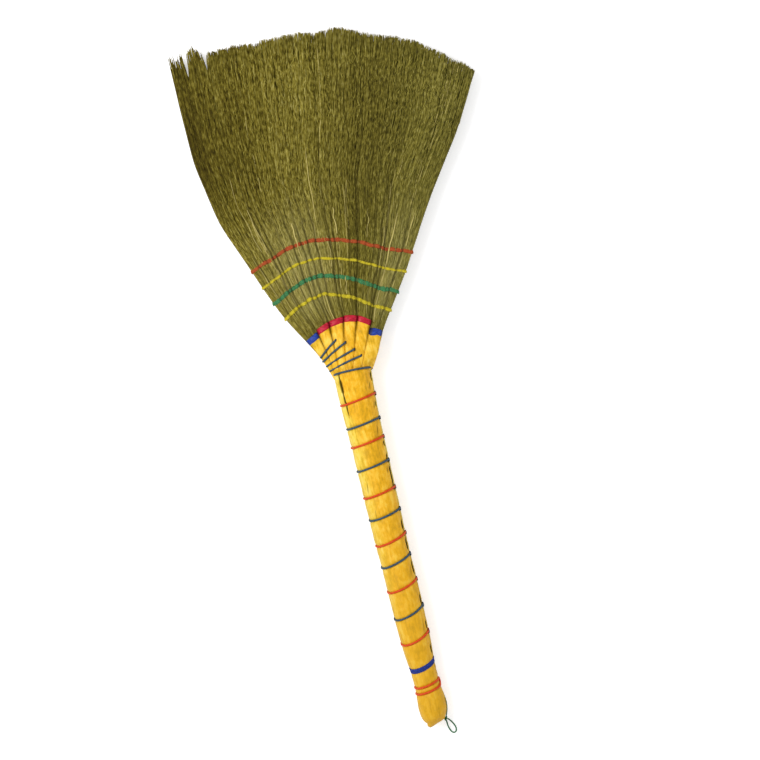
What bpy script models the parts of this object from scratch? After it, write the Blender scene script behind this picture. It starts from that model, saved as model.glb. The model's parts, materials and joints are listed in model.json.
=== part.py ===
"""Hand broom of six stalk bundles, tied into a sleeved handle and sewn flat into a fan.

It lies face up on a flat surface. Metres, +Z up, +Y from the butt towards the fan.
"""

import math
import random

import bmesh
import bpy
from mathutils import Vector
from mathutils.geometry import delaunay_2d_cdt

MM = 0.001

# Handle: distance of each section from the butt end, and its diameter
HEEL_AT, HEEL_DIAMETER = 5 * MM, 28 * MM
FLARE_START, FLARE_END, FLARE_DIAMETER = 12 * MM, 26 * MM, 34 * MM
WAIST_START, WAIST_END, WAIST_DIAMETER = 34 * MM, 58 * MM, 29.5 * MM
GRIP_AT, GRIP_DIAMETER = 130 * MM, 35.5 * MM
BELLY_AT, BELLY_DIAMETER = 250 * MM, 38.5 * MM
COLLAR_AT, COLLAR_DIAMETER = 350 * MM, 40 * MM
NECK_AT, NECK_DIAMETER = 408 * MM, 42 * MM
END_DIAMETER = 20 * MM
BUTT_LEAN, NECK_LEAN = 1.5 * MM, 1 * MM

# Head: middle of each row across the bundles, its width, slant, crown and thickness
SHOULDER_AT, SHOULDER_WIDTH, SHOULDER_LEAN = 433 * MM, 65 * MM, 4.5 * MM
SHOULDER_SLANT, SHOULDER_CROWN, SHOULDER_THICKNESS = -4 * MM, 10 * MM, 32 * MM
MOUTH_AT, MOUTH_WIDTH, MOUTH_LEAN = 457 * MM, 87 * MM, 3 * MM
MOUTH_SLANT, MOUTH_CROWN, MOUTH_THICKNESS = -7 * MM, 20 * MM, 24 * MM
BEND_AT, BEND_WIDTH, BEND_LEAN = 604 * MM, 246 * MM, 15.5 * MM
BEND_SLANT, BEND_CROWN, BEND_THICKNESS = -20 * MM, 31 * MM, 28.5 * MM
SPREAD_AT, SPREAD_WIDTH, SPREAD_LEAN = 672 * MM, 301 * MM, 31 * MM
SPREAD_SLANT, SPREAD_CROWN, SPREAD_THICKNESS = -36 * MM, 33 * MM, 31 * MM
TIP_AT, TIP_WIDTH, TIP_LEAN = 770 * MM, 342 * MM, 50.5 * MM
TIP_SLANT, TIP_CROWN, TIP_THICKNESS = -95 * MM, 35 * MM, 34 * MM
CROWN_SKEW = 1.16

# How much the sections round off towards the edges of the head and of each bundle
DISC_EDGE_SHARE, SHOULDER_EDGE_SHARE, MOUTH_EDGE_SHARE = 0.985, 0.6, 0.3
FAN_EDGE_SHARE, TIP_EDGE_SHARE = 0.5, 0.4
SHOULDER_PINCH_SHARE, MOUTH_PINCH_SHARE, FAN_PINCH_SHARE = 0.5, 0.7, 0.15

# Bundles and bristles
BUNDLES = 6
STRAND_COLUMNS, STRAND_LAYERS = 13, 4
STRAND_FILL_SHARE = 0.9
ROOT_SPREAD_SHARE = 0.82
SLEEVE_SHORT = 1.5 * MM
RAGGED_TIP = 14 * MM
RAGGED_SEED = 11

# Sleeves, rings and seam
SLEEVE_WALL = 0.8 * MM
RING_WALL = 0.8 * MM
RING_HEIGHT = 7 * MM
SEAT_GAP = 0.3 * MM
SEAM_WIDTH, SEAM_ANGLE, SEAM_START = 2.4 * MM, math.radians(24), 38 * MM
STALK_TAPER = 6 * MM
REST_FLAT_DEPTH = 0.5 * MM
HANDLE_LIFT = 0.8 * MM
CUT_OVERRUN = 2 * MM
WELD = 0.001 * MM

# Handle ties: one turn of wire each, its ends bent out side by side
TIE_DIAMETER = 1.6 * MM
TIE_FREE_GAP = 0.6 * MM
TIE_TAIL = 2.4 * MM
TIE_COUNT, FIRST_TIE_AT, TIE_PITCH = 11, 100 * MM, 28.1 * MM
TIE_TILT_AT_BUTT, TIE_TILT_AT_NECK = math.radians(15), math.radians(8)
TIE_DIP = math.radians(8)
TIE_START = math.radians(-14)

# End windings
BLUE_DIAMETER, BLUE_FREE_GAP, BLUE_AT, BLUE_TURNS = 1.4 * MM, 0.5 * MM, 66.5 * MM, 4
RED_DIAMETER, RED_PITCH, RED_AT, RED_TURNS = 1.6 * MM, 7.5 * MM, 43.5 * MM, 2
BLUE_TILT, RED_TILT = math.radians(13), math.radians(9)

# Neck wires, the lowest round all the bundles and each next one round one bundle less
NECK_WIRE_AT, NECK_WIRE_PITCH, NECK_WIRE_RISE = 414.5 * MM, 5.4 * MM, 4.8 * MM
NECK_EDGE_SHARES = (0.28,)
CREVICE = TIE_DIAMETER + 2 * SEAT_GAP
ROOT_INSET = SEAT_GAP / 2 + RING_WALL + SEAT_GAP + SLEEVE_WALL + SEAT_GAP

# Sewn rows of the fan
STITCH_ROWS, FIRST_STITCH, STITCH_PITCH = 4, 28 * MM, 19 * MM
STITCH_DIAMETER = 1.6 * MM

# Hanging loop: the knot sits on the butt's sloping edge, and the cord's route is chosen by hand
CORD_DIAMETER = 1.4 * MM
KNOT_DIAMETER, KNOT_ANGLE = 4.6 * MM, math.radians(-35)
LOOP_ROUTE = (
    (15.2 * MM, -0.6 * MM, 7.2 * MM),
    (17.2 * MM, -3.0 * MM, 6.2 * MM),
    (19.2 * MM, -6.2 * MM, 4.7 * MM),
    (20.8 * MM, -9.8 * MM, 3.1 * MM),
    (21.6 * MM, -13.6 * MM, 1.7 * MM),
    (20.8 * MM, -16.8 * MM, 0.95 * MM),
    (18.4 * MM, -18.0 * MM, 0.9 * MM),
    (16.0 * MM, -16.6 * MM, 1.0 * MM),
    (14.4 * MM, -13.6 * MM, 2.0 * MM),
    (13.3 * MM, -9.6 * MM, 3.7 * MM),
    (12.9 * MM, -5.4 * MM, 5.5 * MM),
    (12.8 * MM, -1.8 * MM, 7.0 * MM),
)

# Mesh fineness
HANDLE_SIDES, CELL_POINTS, TIE_POINTS, WINDING_POINTS = 24, 4, 16, 24
KNOT_SUBDIVISIONS, WIRE_BEVEL_STEPS, CORD_BEVEL_STEPS = 2, 1, 2
SMOOTH_UNDER = math.radians(50)

ROW_FIELDS = ("at", "width", "thickness", "lean", "slant", "crown", "height", "edge", "pinch")
HANDLE_HEIGHT = TIE_DIAMETER + SEAT_GAP + HANDLE_LIFT
FLARE_HEIGHT = FLARE_DIAMETER / 2 - REST_FLAT_DEPTH


def disc_row(at, diameter, lean, height):
    return dict(zip(ROW_FIELDS, (at, diameter, diameter, lean, 0, 0, height, DISC_EDGE_SHARE, 0)))


def head_row(at, width, thickness, lean, slant, crown, edge, pinch):
    """A row of the head, its middle on the straight line from the neck down to the tips."""
    share = (at - NECK_AT) / (TIP_AT - NECK_AT)
    neck_height = NECK_DIAMETER / 2 + HANDLE_HEIGHT
    tip_height = TIP_THICKNESS / 2 * (1 - (1 - STRAND_FILL_SHARE) / STRAND_LAYERS)
    height = neck_height + share * (tip_height - neck_height)
    return dict(zip(ROW_FIELDS, (at, width, thickness, lean, slant, crown, height, edge, pinch)))


def table_of_rows():
    rows = [
        disc_row(0, END_DIAMETER, BUTT_LEAN, FLARE_HEIGHT),
        disc_row(HEEL_AT, HEEL_DIAMETER, BUTT_LEAN, FLARE_HEIGHT),
        disc_row(FLARE_START, FLARE_DIAMETER, BUTT_LEAN, FLARE_HEIGHT),
        disc_row(FLARE_END, FLARE_DIAMETER, BUTT_LEAN, FLARE_HEIGHT),
    ]
    for at, diameter, lean in (
        (WAIST_START, WAIST_DIAMETER, BUTT_LEAN),
        (WAIST_END, WAIST_DIAMETER, BUTT_LEAN),
        (GRIP_AT, GRIP_DIAMETER, 0),
        (BELLY_AT, BELLY_DIAMETER, 0),
        (COLLAR_AT, COLLAR_DIAMETER, 0),
        (NECK_AT, NECK_DIAMETER, NECK_LEAN),
    ):
        rows.append(disc_row(at, diameter, lean, diameter / 2 + HANDLE_HEIGHT))
    rows += [
        head_row(SHOULDER_AT, SHOULDER_WIDTH, SHOULDER_THICKNESS, SHOULDER_LEAN, SHOULDER_SLANT,
                 SHOULDER_CROWN, SHOULDER_EDGE_SHARE, SHOULDER_PINCH_SHARE),
        head_row(MOUTH_AT, MOUTH_WIDTH, MOUTH_THICKNESS, MOUTH_LEAN, MOUTH_SLANT,
                 MOUTH_CROWN, MOUTH_EDGE_SHARE, MOUTH_PINCH_SHARE),
        head_row(BEND_AT, BEND_WIDTH, BEND_THICKNESS, BEND_LEAN, BEND_SLANT,
                 BEND_CROWN, FAN_EDGE_SHARE, FAN_PINCH_SHARE),
        head_row(SPREAD_AT, SPREAD_WIDTH, SPREAD_THICKNESS, SPREAD_LEAN, SPREAD_SLANT,
                 SPREAD_CROWN, FAN_EDGE_SHARE, FAN_PINCH_SHARE),
        head_row(TIP_AT, TIP_WIDTH, TIP_THICKNESS, TIP_LEAN, TIP_SLANT,
                 TIP_CROWN, TIP_EDGE_SHARE, FAN_PINCH_SHARE),
    ]
    return rows


ROWS = table_of_rows()


def row_at(at):
    """The broom's section at a distance from the butt, between the two rows round it."""
    for low, high in zip(ROWS, ROWS[1:]):
        if at <= high["at"] or high is ROWS[-1]:
            share = (at - low["at"]) / (high["at"] - low["at"])
            return {field: low[field] + share * (high[field] - low[field]) for field in ROW_FIELDS}


def across(row, share):
    """The point in the middle plane, a share of the way from the left edge to the right edge."""
    skewed = share ** CROWN_SKEW
    return Vector((
        row["lean"] + (share - 0.5) * row["width"],
        row["at"] + (share - 0.5) * row["slant"] + 4 * skewed * (1 - skewed) * row["crown"],
        row["height"],
    ))


def half_thickness(row, share, along=0.0, skin=0.0):
    """Half the thickness there, less a skin; along runs from -1 to 1 across one bundle."""
    reach = (2 * share - 1) * row["width"] / (row["width"] - 2 * skin)
    edge = 1 - row["edge"] * reach ** 2
    pinch = 1 - row["pinch"] * along ** 2
    return (row["thickness"] / 2 - skin) * math.sqrt(edge * pinch)


def cell_point(row, bundle, along, side_inset, skin, spread=1.0):
    """A place in one bundle's cell: along runs from -1 to 1 across what the insets leave of it.

    Returns the point in the middle plane, the half thickness there and half the cell's width.
    """
    left = across(row, bundle / BUNDLES)
    right = across(row, (bundle + 1) / BUNDLES)
    half = (right - left) / 2
    placed = along * spread * (1 - side_inset / half.length)
    share = (bundle + 0.5 + placed / 2) / BUNDLES
    return (left + right) / 2 + half * placed, half_thickness(row, share, placed, skin) * spread, half


def cell_section(row, bundle, side_inset, skin):
    """A closed outline round one bundle: along its upper side, then back along its lower side."""
    upper, lower = [], []
    for k in range(CELL_POINTS):
        along = -math.cos(math.pi * (k + 0.5) / CELL_POINTS)
        point, half_height, _ = cell_point(row, bundle, along, side_inset, skin)
        rise = Vector((0, 0, half_height))
        upper.append(point + rise)
        lower.append(point - rise)
    return upper + lower[::-1]


def shrunk_row(at, skin):
    """The handle's round section with its outer skin taken off."""
    row = row_at(at)
    row["width"] -= 2 * skin
    row["thickness"] -= 2 * skin
    return row


def disc_section(at, skin=0.0, rest_flat=False):
    """A round outline of the handle, cut flat where it rests."""
    row = row_at(at)
    radius = row["width"] / 2 - skin
    points = []
    for k in range(HANDLE_SIDES):
        angle = 2 * math.pi * (k + 0.5) / HANDLE_SIDES
        z = row["height"] + radius * math.sin(angle)
        points.append(Vector((row["lean"] + radius * math.cos(angle), at, max(z, 0) if rest_flat else z)))
    return points


# Building blocks


def new_collection(name):
    collection = bpy.data.collections.new(name)
    bpy.context.scene.collection.children.link(collection)
    return collection


def new_material(name, colour, roughness, metallic=0.0):
    material = bpy.data.materials.new(name)
    material.use_nodes = True
    shader = material.node_tree.nodes["Principled BSDF"]
    shader.inputs["Base Color"].default_value = (*colour, 1)
    shader.inputs["Roughness"].default_value = roughness
    shader.inputs["Metallic"].default_value = metallic
    return material


def add_object(name, mesh, collection, material=None, parent=None):
    obj = bpy.data.objects.new(name, mesh)
    collection.objects.link(obj)
    if material:
        mesh.materials.append(material)
    if parent:
        obj.parent = parent
    return obj


def add_rings(mesh, sections):
    """Adds closed outlines as vertices, joins neighbours, and returns the outlines.

    Every side is split along the same diagonal, so that nested pieces keep their gap.
    """
    rings = [[mesh.verts.new(point) for point in section] for section in sections]
    for ring, following in zip(rings, rings[1:]):
        for k in range(len(ring)):
            n = (k + 1) % len(ring)
            mesh.faces.new((ring[k], ring[n], following[n]))
            mesh.faces.new((ring[k], following[n], following[k]))
    return rings


def finished_mesh(name, mesh):
    bmesh.ops.recalc_face_normals(mesh, faces=mesh.faces)
    data = bpy.data.meshes.new(name)
    mesh.to_mesh(data)
    mesh.free()
    data.shade_smooth()
    data.set_sharp_from_angle(angle=SMOOTH_UNDER)
    return data


def loft(name, sections):
    """A solid through closed outlines, with flat ends."""
    mesh = bmesh.new()
    rings = add_rings(mesh, sections)
    mesh.faces.new(rings[0])
    mesh.faces.new(rings[-1])
    return finished_mesh(name, mesh)


def shell(name, outer, inner):
    """A wall between two sets of outlines, open at both ends."""
    mesh = bmesh.new()
    outside, inside = add_rings(mesh, outer), add_rings(mesh, inner)
    for end in (0, -1):
        for k in range(len(outside[end])):
            n = (k + 1) % len(outside[end])
            mesh.faces.new((outside[end][k], outside[end][n], inside[end][n], inside[end][k]))
    return finished_mesh(name, mesh)


def add_cutter(name, mesh):
    cutter = add_object(name, mesh, CUTTERS)
    cutter.hide_render = True
    cutter.display_type = "WIRE"
    return cutter


def add_boolean(obj, cutter, operation):
    modifier = obj.modifiers.new(cutter.name, "BOOLEAN")
    modifier.operation = operation
    modifier.solver = "EXACT"
    modifier.object = cutter


def add_tube(name, points, diameter, material, parent=None):
    """A wire or cord: one open poly spline with a round bevel and filled ends."""
    curve = bpy.data.curves.new(name, "CURVE")
    curve.dimensions = "3D"
    curve.bevel_depth = diameter / 2
    curve.bevel_resolution = WIRE_BEVEL_STEPS
    curve.use_fill_caps = True
    spline = curve.splines.new("POLY")
    spline.points.add(len(points) - 1)
    for spot, point in zip(spline.points, points):
        spot.co = (*point, 1)
    return add_object(name, curve, PARTS, material, parent)


def least_gap(points, diameter, apart):
    """The smallest distance between two stretches of a tube that are apart along it."""
    reach = [0.0]
    for first, second in zip(points, points[1:]):
        reach.append(reach[-1] + (second - first).length)
    gaps = [
        (points[a] - points[b]).length
        for a in range(len(points))
        for b in range(a + 1, len(points))
        if reach[b] - reach[a] > apart
    ]
    return min(gaps) - diameter


# Pieces of the head


def inset_sections(bundle, stations, further=0.0):
    """One bundle's outlines at some stations, each a distance and how far the outline lies inside."""
    return [cell_section(row_at(at), bundle, inset + further, inset + further) for at, inset in stations]


def build_bundles():
    """Sleeves, rings, hidden stalks and bristles, one set for each bundle."""
    ring_at = MOUTH_AT - RING_HEIGHT
    ring_inset = SEAT_GAP / 2
    under_ring = ring_inset + RING_WALL + SEAT_GAP
    within_sleeve = SLEEVE_WALL + SEAT_GAP
    shoulder_inset = CREVICE / 2
    sleeve_stations = (
        (NECK_AT + SEAT_GAP, ring_inset),
        (NECK_WIRE_AT, shoulder_inset),
        (SHOULDER_AT, shoulder_inset),
        (ring_at - SEAT_GAP, under_ring),
        (MOUTH_AT - SLEEVE_SHORT, under_ring),
    )
    handle_stations = (
        HEEL_AT, FLARE_START, FLARE_END, WAIST_START, WAIST_END,
        GRIP_AT, BELLY_AT, COLLAR_AT, NECK_AT - STALK_TAPER,
    )
    rng = random.Random(RAGGED_SEED)
    for bundle in range(BUNDLES):
        number = bundle + 1
        name = f"bundle_sleeve_{number}"
        outer = inset_sections(bundle, sleeve_stations)
        inner = inset_sections(bundle, sleeve_stations, SLEEVE_WALL)
        add_object(name, shell(name, outer, inner), PARTS, FILM, BROOM)

        name = f"bundle_ring_{number}"
        stations = ((ring_at, ring_inset), (MOUTH_AT, ring_inset))
        outer = inset_sections(bundle, stations)
        inner = inset_sections(bundle, stations, RING_WALL)
        tape = BLUE_TAPE if bundle in (0, BUNDLES - 1) else RED_TAPE
        add_object(name, shell(name, outer, inner), PARTS, tape, BROOM)

        name = f"stalk_bundle_{number}"
        sections = [
            cell_section(shrunk_row(at, within_sleeve + SEAT_GAP), bundle, SEAT_GAP / 2, 0)
            for at in handle_stations
        ]
        sections += inset_sections(bundle, sleeve_stations[:-1], within_sleeve)
        add_object(name, loft(name, sections), PARTS, STALK, BROOM)

        build_bristles(bundle, ring_at, rng)


def strand_section(row, bundle, column, layer, inset, spread):
    """A three-sided outline inside one strand's own place in the bundle's grid."""
    along = (2 * column + 1) / STRAND_COLUMNS - 1
    centre, half_height, half = cell_point(row, bundle, along, inset, inset, spread)
    centre.z += ((2 * layer + 1) / STRAND_LAYERS - 1) * half_height
    side = half * (1 - inset / half.length) * spread / STRAND_COLUMNS * STRAND_FILL_SHARE
    rise = Vector((0, 0, half_height / STRAND_LAYERS * STRAND_FILL_SHARE))
    if column % 2 and layer:
        rise.negate()
    return [centre - side - rise, centre + side - rise, centre + rise]


def fill_between(mesh, outline, holes, direction):
    """Triangles over a flat upright face, from its outline to the holes in it."""
    loops = [outline, *holes]
    corners = [corner for loop in loops for corner in loop]
    flat = [Vector((corner.co.dot(direction), corner.co.z)) for corner in corners]
    faces, start = [], 0
    for loop in loops:
        ring = list(range(start, start + len(loop)))
        turned = sum(flat[a].cross(flat[b]) for a, b in zip(ring, ring[1:] + ring[:1]))
        faces.append(ring if turned > 0 else ring[::-1])
        start += len(loop)
    _, _, triangles, origins, _, sources = delaunay_2d_cdt(flat, [], faces, 1, WELD)
    for triangle, source in zip(triangles, sources):
        if list(source) == [0]:
            mesh.faces.new([corners[origins[k][0]] for k in triangle])


def build_bristles(bundle, ring_at, rng):
    """The strands of one bundle, growing out of the slice of stalks that carries them."""
    mesh = bmesh.new()
    slice_stations = ((ring_at + SEAT_GAP, ROOT_INSET), (MOUTH_AT, ROOT_INSET))
    root = add_rings(mesh, inset_sections(bundle, slice_stations))
    mesh.faces.new(root[0])
    feet = []
    for column in range(STRAND_COLUMNS):
        for layer in range(STRAND_LAYERS):
            tip = TIP_AT - rng.uniform(0, RAGGED_TIP)
            stations = (
                (MOUTH_AT, ROOT_INSET, ROOT_SPREAD_SHARE), (BEND_AT, 0, 1), (SPREAD_AT, 0, 1), (tip, 0, 1)
            )
            rings = add_rings(mesh, [
                strand_section(row_at(at), bundle, column, layer, inset, spread)
                for at, inset, spread in stations
            ])
            mesh.faces.new(rings[-1])
            feet.append(rings[0])
    _, _, half = cell_point(row_at(MOUTH_AT), bundle, 0, 0, 0)
    fill_between(mesh, root[-1], feet, half.normalized())
    name = f"fibre_bundle_{bundle + 1}"
    add_object(name, finished_mesh(name, mesh), PARTS, FIBRE, BROOM)


def bristle_face_inset(at):
    """How far the bristles lie inside the row's outline on the faces of the fan."""
    half = MOUTH_THICKNESS / 2
    root = half - (half - ROOT_INSET) * ROOT_SPREAD_SHARE
    return root * (BEND_AT - at) / (BEND_AT - MOUTH_AT)


def bristle_corner(at, outward):
    """The outermost bristles on the left, -1, or the right, 1.

    Returns their place, their half thickness and how high the thread passes over them.
    """
    share = (at - MOUTH_AT) / (BEND_AT - MOUTH_AT)
    bundle = 0 if outward < 0 else BUNDLES - 1
    root, low, _ = cell_point(
        row_at(MOUTH_AT), bundle, outward, ROOT_INSET, ROOT_INSET, ROOT_SPREAD_SHARE
    )
    wide, high, _ = cell_point(row_at(BEND_AT), bundle, outward, 0, 0)
    height = low + share * (high - low)
    return root.lerp(wide, share), height, height + SEAT_GAP + STITCH_DIAMETER / 2


def sleeve_corner(at, share, outward, inset):
    """The same of the sleeves, at the outline's edge less the inset."""
    row = row_at(at)
    share -= outward * inset / row["width"]
    over = inset - SEAT_GAP - TIE_DIAMETER / 2
    return across(row, share), half_thickness(row, share, 0, inset), half_thickness(row, share, 0, over)


def loop_round(at_left, at_right, bundles, diameter, inset, corners, edge_shares=(), tail=0):
    """An open loop round the first bundles of the head, on what the inset leaves of their rows.

    The corners are those of its left and right side; without a right one it dives between two
    bundles. It starts and ends behind, in the middle, a free gap apart.
    """
    clear = SEAT_GAP + diameter / 2
    share_to = bundles / BUNDLES

    def spot(share, side, aside=0.0, drop=0.0):
        row = row_at(at_left + (at_right - at_left) * share / share_to)
        point = across(row, share)
        point.x += aside
        point.z += side * (half_thickness(row, share, 0, inset - clear) - drop)
        return point

    def end(corner, outward, side):
        """The bend from the face of the head to its side, and the top of the side."""
        if not corner:
            return [spot(share_to, side, -diameter), spot(share_to, side, 0, diameter)]
        place, height, over = corner
        diagonal = clear * math.sqrt(0.5)
        return [
            place + Vector((0, 0, side * over)),
            place + Vector((outward * diagonal, 0, side * (height + diagonal))),
            place + Vector((outward * clear, 0, side * height)),
        ]

    shares = [edge / BUNDLES for edge in edge_shares]
    shares += [(k + 0.5) / BUNDLES for k in range(bundles)]
    if corners[1]:
        shares += [1 - edge / BUNDLES for edge in reversed(edge_shares)]
    front = [spot(share, 1) for share in shares]
    back = [spot(share, -1) for share in shares]
    right = end(corners[1], 1, 1) + end(corners[1], 1, -1)[::-1]
    left = end(corners[0], -1, -1) + end(corners[0], -1, 1)[::-1]
    cut = (len(back) + len(edge_shares)) // 2
    middle = (back[cut - 1] + back[cut]) / 2
    along = (back[cut] - back[cut - 1]).normalized() * (diameter + TIE_FREE_GAP) / 2
    away = Vector((0, tail, 0))
    points = [middle - along, *back[:cut][::-1], *left, *front, *right, *back[cut:][::-1], middle + along]
    return [points[0] + away, *points, points[-1] + away] if tail else points


def build_neck_wires():
    inset = CREVICE / 2
    for number in range(1, BUNDLES):
        above = BUNDLES - number - 1
        left = NECK_WIRE_AT + above * NECK_WIRE_PITCH
        right = left + (NECK_WIRE_RISE if above else 0)
        corners = (sleeve_corner(left, 0, -1, inset), None if above else sleeve_corner(right, 1, 1, inset))
        points = loop_round(
            left, right, number + 1, TIE_DIAMETER, inset, corners, NECK_EDGE_SHARES, TIE_TAIL
        )
        add_wound(f"neck_wire_{number}", points, TIE_DIAMETER, DARK_WIRE)


def build_stitches():
    for number, material in enumerate((YELLOW_THREAD, GREEN_THREAD, YELLOW_THREAD, RED_THREAD)):
        at = MOUTH_AT + FIRST_STITCH + number * STITCH_PITCH
        corners = (bristle_corner(at, -1), bristle_corner(at, 1))
        points = loop_round(at, at, BUNDLES, STITCH_DIAMETER, bristle_face_inset(at), corners)
        add_wound(f"stitch_row_{number + 1}", points, STITCH_DIAMETER, material)


# Pieces of the handle


def build_handle_sleeve():
    """The sheet round the stalks: closed at the butt, open along its seam and at the neck."""
    ends = (WAIST_END, GRIP_AT, BELLY_AT, COLLAR_AT, NECK_AT)
    stations = (0, HEEL_AT, FLARE_START, FLARE_END, WAIST_START, *ends)
    solid = loft("handle_sleeve", [disc_section(at, rest_flat=True) for at in stations])
    sleeve = add_object("handle_sleeve", solid, PARTS, FILM, BROOM)
    hollow = [disc_section(at, SLEEVE_WALL) for at in (SLEEVE_WALL, *stations[1:])]
    hollow.append([point + Vector((0, CUT_OVERRUN, 0)) for point in hollow[-1]])
    outward = Vector((math.cos(SEAM_ANGLE), 0, math.sin(SEAM_ANGLE)))
    sideways = Vector((-outward.z, 0, outward.x)) * SEAM_WIDTH / 2
    seam = []
    for at in (SEAM_START, *ends):
        row = row_at(at)
        axis = Vector((row["lean"], at, row["height"]))
        inner = outward * (row["width"] / 2 - SLEEVE_WALL - CUT_OVERRUN)
        outer = outward * (row["width"] / 2 + CUT_OVERRUN)
        seam.append([axis + inner - sideways, axis + outer - sideways,
                     axis + outer + sideways, axis + inner + sideways])
    seam.append([point + Vector((0, CUT_OVERRUN, 0)) for point in seam[-1]])
    for name, sections in (("handle_hollow", hollow), ("handle_seam", seam)):
        cutter = add_cutter(name, loft(name, sections))
        cutter.parent = BROOM
        add_boolean(sleeve, cutter, "DIFFERENCE")


def coil_round_handle(at, turns, pitch, diameter, count, tilt, start=0.0, tail=0):
    """A winding on the handle's sleeve: its plane leans with the tilt and dips towards the front."""
    widened = 1 / math.cos(math.pi / count)
    points, outwards = [], []
    for k in range(turns * count + 1):
        angle = start + 2 * math.pi * k / count
        outward = Vector((math.cos(angle), 0, math.sin(angle)))
        y = at + pitch * (k / count - turns / 2)
        reach = row_at(y)["width"] / 2
        y += reach * (outward.x * math.tan(tilt) - outward.z * math.tan(TIE_DIP))
        row = row_at(y)
        reach = (row["width"] / 2 + SEAT_GAP + diameter / 2) * widened
        points.append(Vector((row["lean"], y, row["height"])) + outward * reach)
        outwards.append(outward)
    if not tail:
        return points
    return [points[0] + outwards[0] * tail, *points, points[-1] + outwards[-1] * tail]


def build_ties():
    pitch = TIE_DIAMETER + TIE_FREE_GAP
    for k in range(TIE_COUNT):
        share = k / (TIE_COUNT - 1)
        tilt = TIE_TILT_AT_BUTT + share * (TIE_TILT_AT_NECK - TIE_TILT_AT_BUTT)
        points = coil_round_handle(
            FIRST_TIE_AT + k * TIE_PITCH, 1, pitch, TIE_DIAMETER, TIE_POINTS, tilt, TIE_START, TIE_TAIL
        )
        colour, material = ("dark", DARK_WIRE) if k % 2 else ("red", RED_WIRE)
        add_wound(f"handle_wire_{colour}_{k // 2 + 1}", points, TIE_DIAMETER, material)


def build_end_windings():
    points = coil_round_handle(
        BLUE_AT, BLUE_TURNS, BLUE_DIAMETER + BLUE_FREE_GAP, BLUE_DIAMETER, WINDING_POINTS, BLUE_TILT
    )
    add_wound("end_winding_blue", points, BLUE_DIAMETER, BLUE_THREAD)
    points = coil_round_handle(RED_AT, RED_TURNS, RED_PITCH, RED_DIAMETER, WINDING_POINTS, RED_TILT)
    add_wound("end_winding_red", points, RED_DIAMETER, RED_WIRE)


def add_wound(name, points, diameter, material):
    """Adds the tube of a loop or winding, and prints how near it comes to itself."""
    add_tube(name, points, diameter, material, BROOM)
    gap = least_gap(points, diameter, math.pi * diameter)
    print(f"{name}: least gap to itself {gap / MM:.2f} mm")


# Hanging loop


def build_hanging_loop():
    slope = Vector((HEEL_AT, 0, (END_DIAMETER - HEEL_DIAMETER) / 2)).normalized()
    outward = Vector((math.cos(KNOT_ANGLE), 0, math.sin(KNOT_ANGLE)))
    normal = outward * slope.x + Vector((0, slope.z, 0))
    row = row_at(HEEL_AT / 2)
    seat = Vector((row["lean"], HEEL_AT / 2, row["height"])) + outward * row["width"] / 2
    centre = seat + normal * (KNOT_DIAMETER / 2 + SEAT_GAP)
    ball = bmesh.new()
    bmesh.ops.create_icosphere(ball, subdivisions=KNOT_SUBDIVISIONS, radius=KNOT_DIAMETER / 2)
    knot = add_object("loop_knot", finished_mesh("loop_knot", ball), PARTS, GREEN_CORD, BROOM)
    knot.location = centre
    pivot = bpy.data.objects.new("loop_pivot", None)
    PARTS.objects.link(pivot)
    pivot.parent = BROOM
    pivot.location = centre
    route = [Vector(point) for point in LOOP_ROUTE]
    length = sum((b - a).length for a, b in zip(route, route[1:]))
    print(f"hanging_loop: {length / MM:.1f} mm of cord, "
          f"least gap to itself {least_gap(route, CORD_DIAMETER, math.pi * CORD_DIAMETER) / MM:.2f} mm")
    cord = add_tube("hanging_loop", [point - centre for point in route], CORD_DIAMETER, GREEN_CORD, pivot)
    cord.data.bevel_resolution = CORD_BEVEL_STEPS


def settle_frame():
    """Moves the broom so that the origin is under the middle of its box, without the cord."""
    bpy.context.view_layer.update()
    graph = bpy.context.evaluated_depsgraph_get()
    points = [
        obj.matrix_world @ vertex.co
        for obj in PARTS.objects
        if obj.type != "EMPTY" and obj.name not in ("hanging_loop", "loop_knot")
        for vertex in obj.evaluated_get(graph).to_mesh().vertices
    ]
    low = Vector(min(point[k] for point in points) for k in range(3))
    high = Vector(max(point[k] for point in points) for k in range(3))
    BROOM.location = -(low.x + high.x) / 2, -(low.y + high.y) / 2, -low.z
    bpy.context.view_layer.update()
    rest = Vector((BUTT_LEAN, (FLARE_START + FLARE_END) / 2, 0))
    butt = Vector((BUTT_LEAN, 0, FLARE_HEIGHT))
    for name, place in (
        ("loop hinge", bpy.data.objects["loop_pivot"].matrix_world.translation),
        ("rest face", BROOM.matrix_world @ rest),
        ("butt face", BROOM.matrix_world @ butt),
        ("origin moved by", BROOM.location),
    ):
        print(name, [round(value, 5) for value in place])


# Scene and materials
for old in list(bpy.data.objects):
    bpy.data.objects.remove(old)
PARTS = new_collection("broom")
CUTTERS = new_collection("cutters")
CUTTERS.hide_render = True
FILM = new_material("yellow_film", (0.95, 0.48, 0.03), 0.35)
STALK = new_material("dry_stalk", (0.16, 0.12, 0.05), 0.8)
FIBRE = new_material("olive_fibre", (0.2, 0.16, 0.04), 0.75)
BLUE_TAPE = new_material("blue_tape", (0.02, 0.05, 0.3), 0.4)
RED_TAPE = new_material("red_tape", (0.5, 0.01, 0.04), 0.4)
RED_WIRE = new_material("red_wire", (0.6, 0.07, 0.01), 0.4)
DARK_WIRE = new_material("dark_wire", (0.07, 0.08, 0.07), 0.4)
BLUE_THREAD = new_material("blue_thread", (0.03, 0.04, 0.16), 0.7)
RED_THREAD = new_material("red_thread", (0.4, 0.07, 0.02), 0.7)
YELLOW_THREAD = new_material("yellow_thread", (0.6, 0.48, 0.05), 0.7)
GREEN_THREAD = new_material("green_thread", (0.04, 0.2, 0.09), 0.7)
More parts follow.
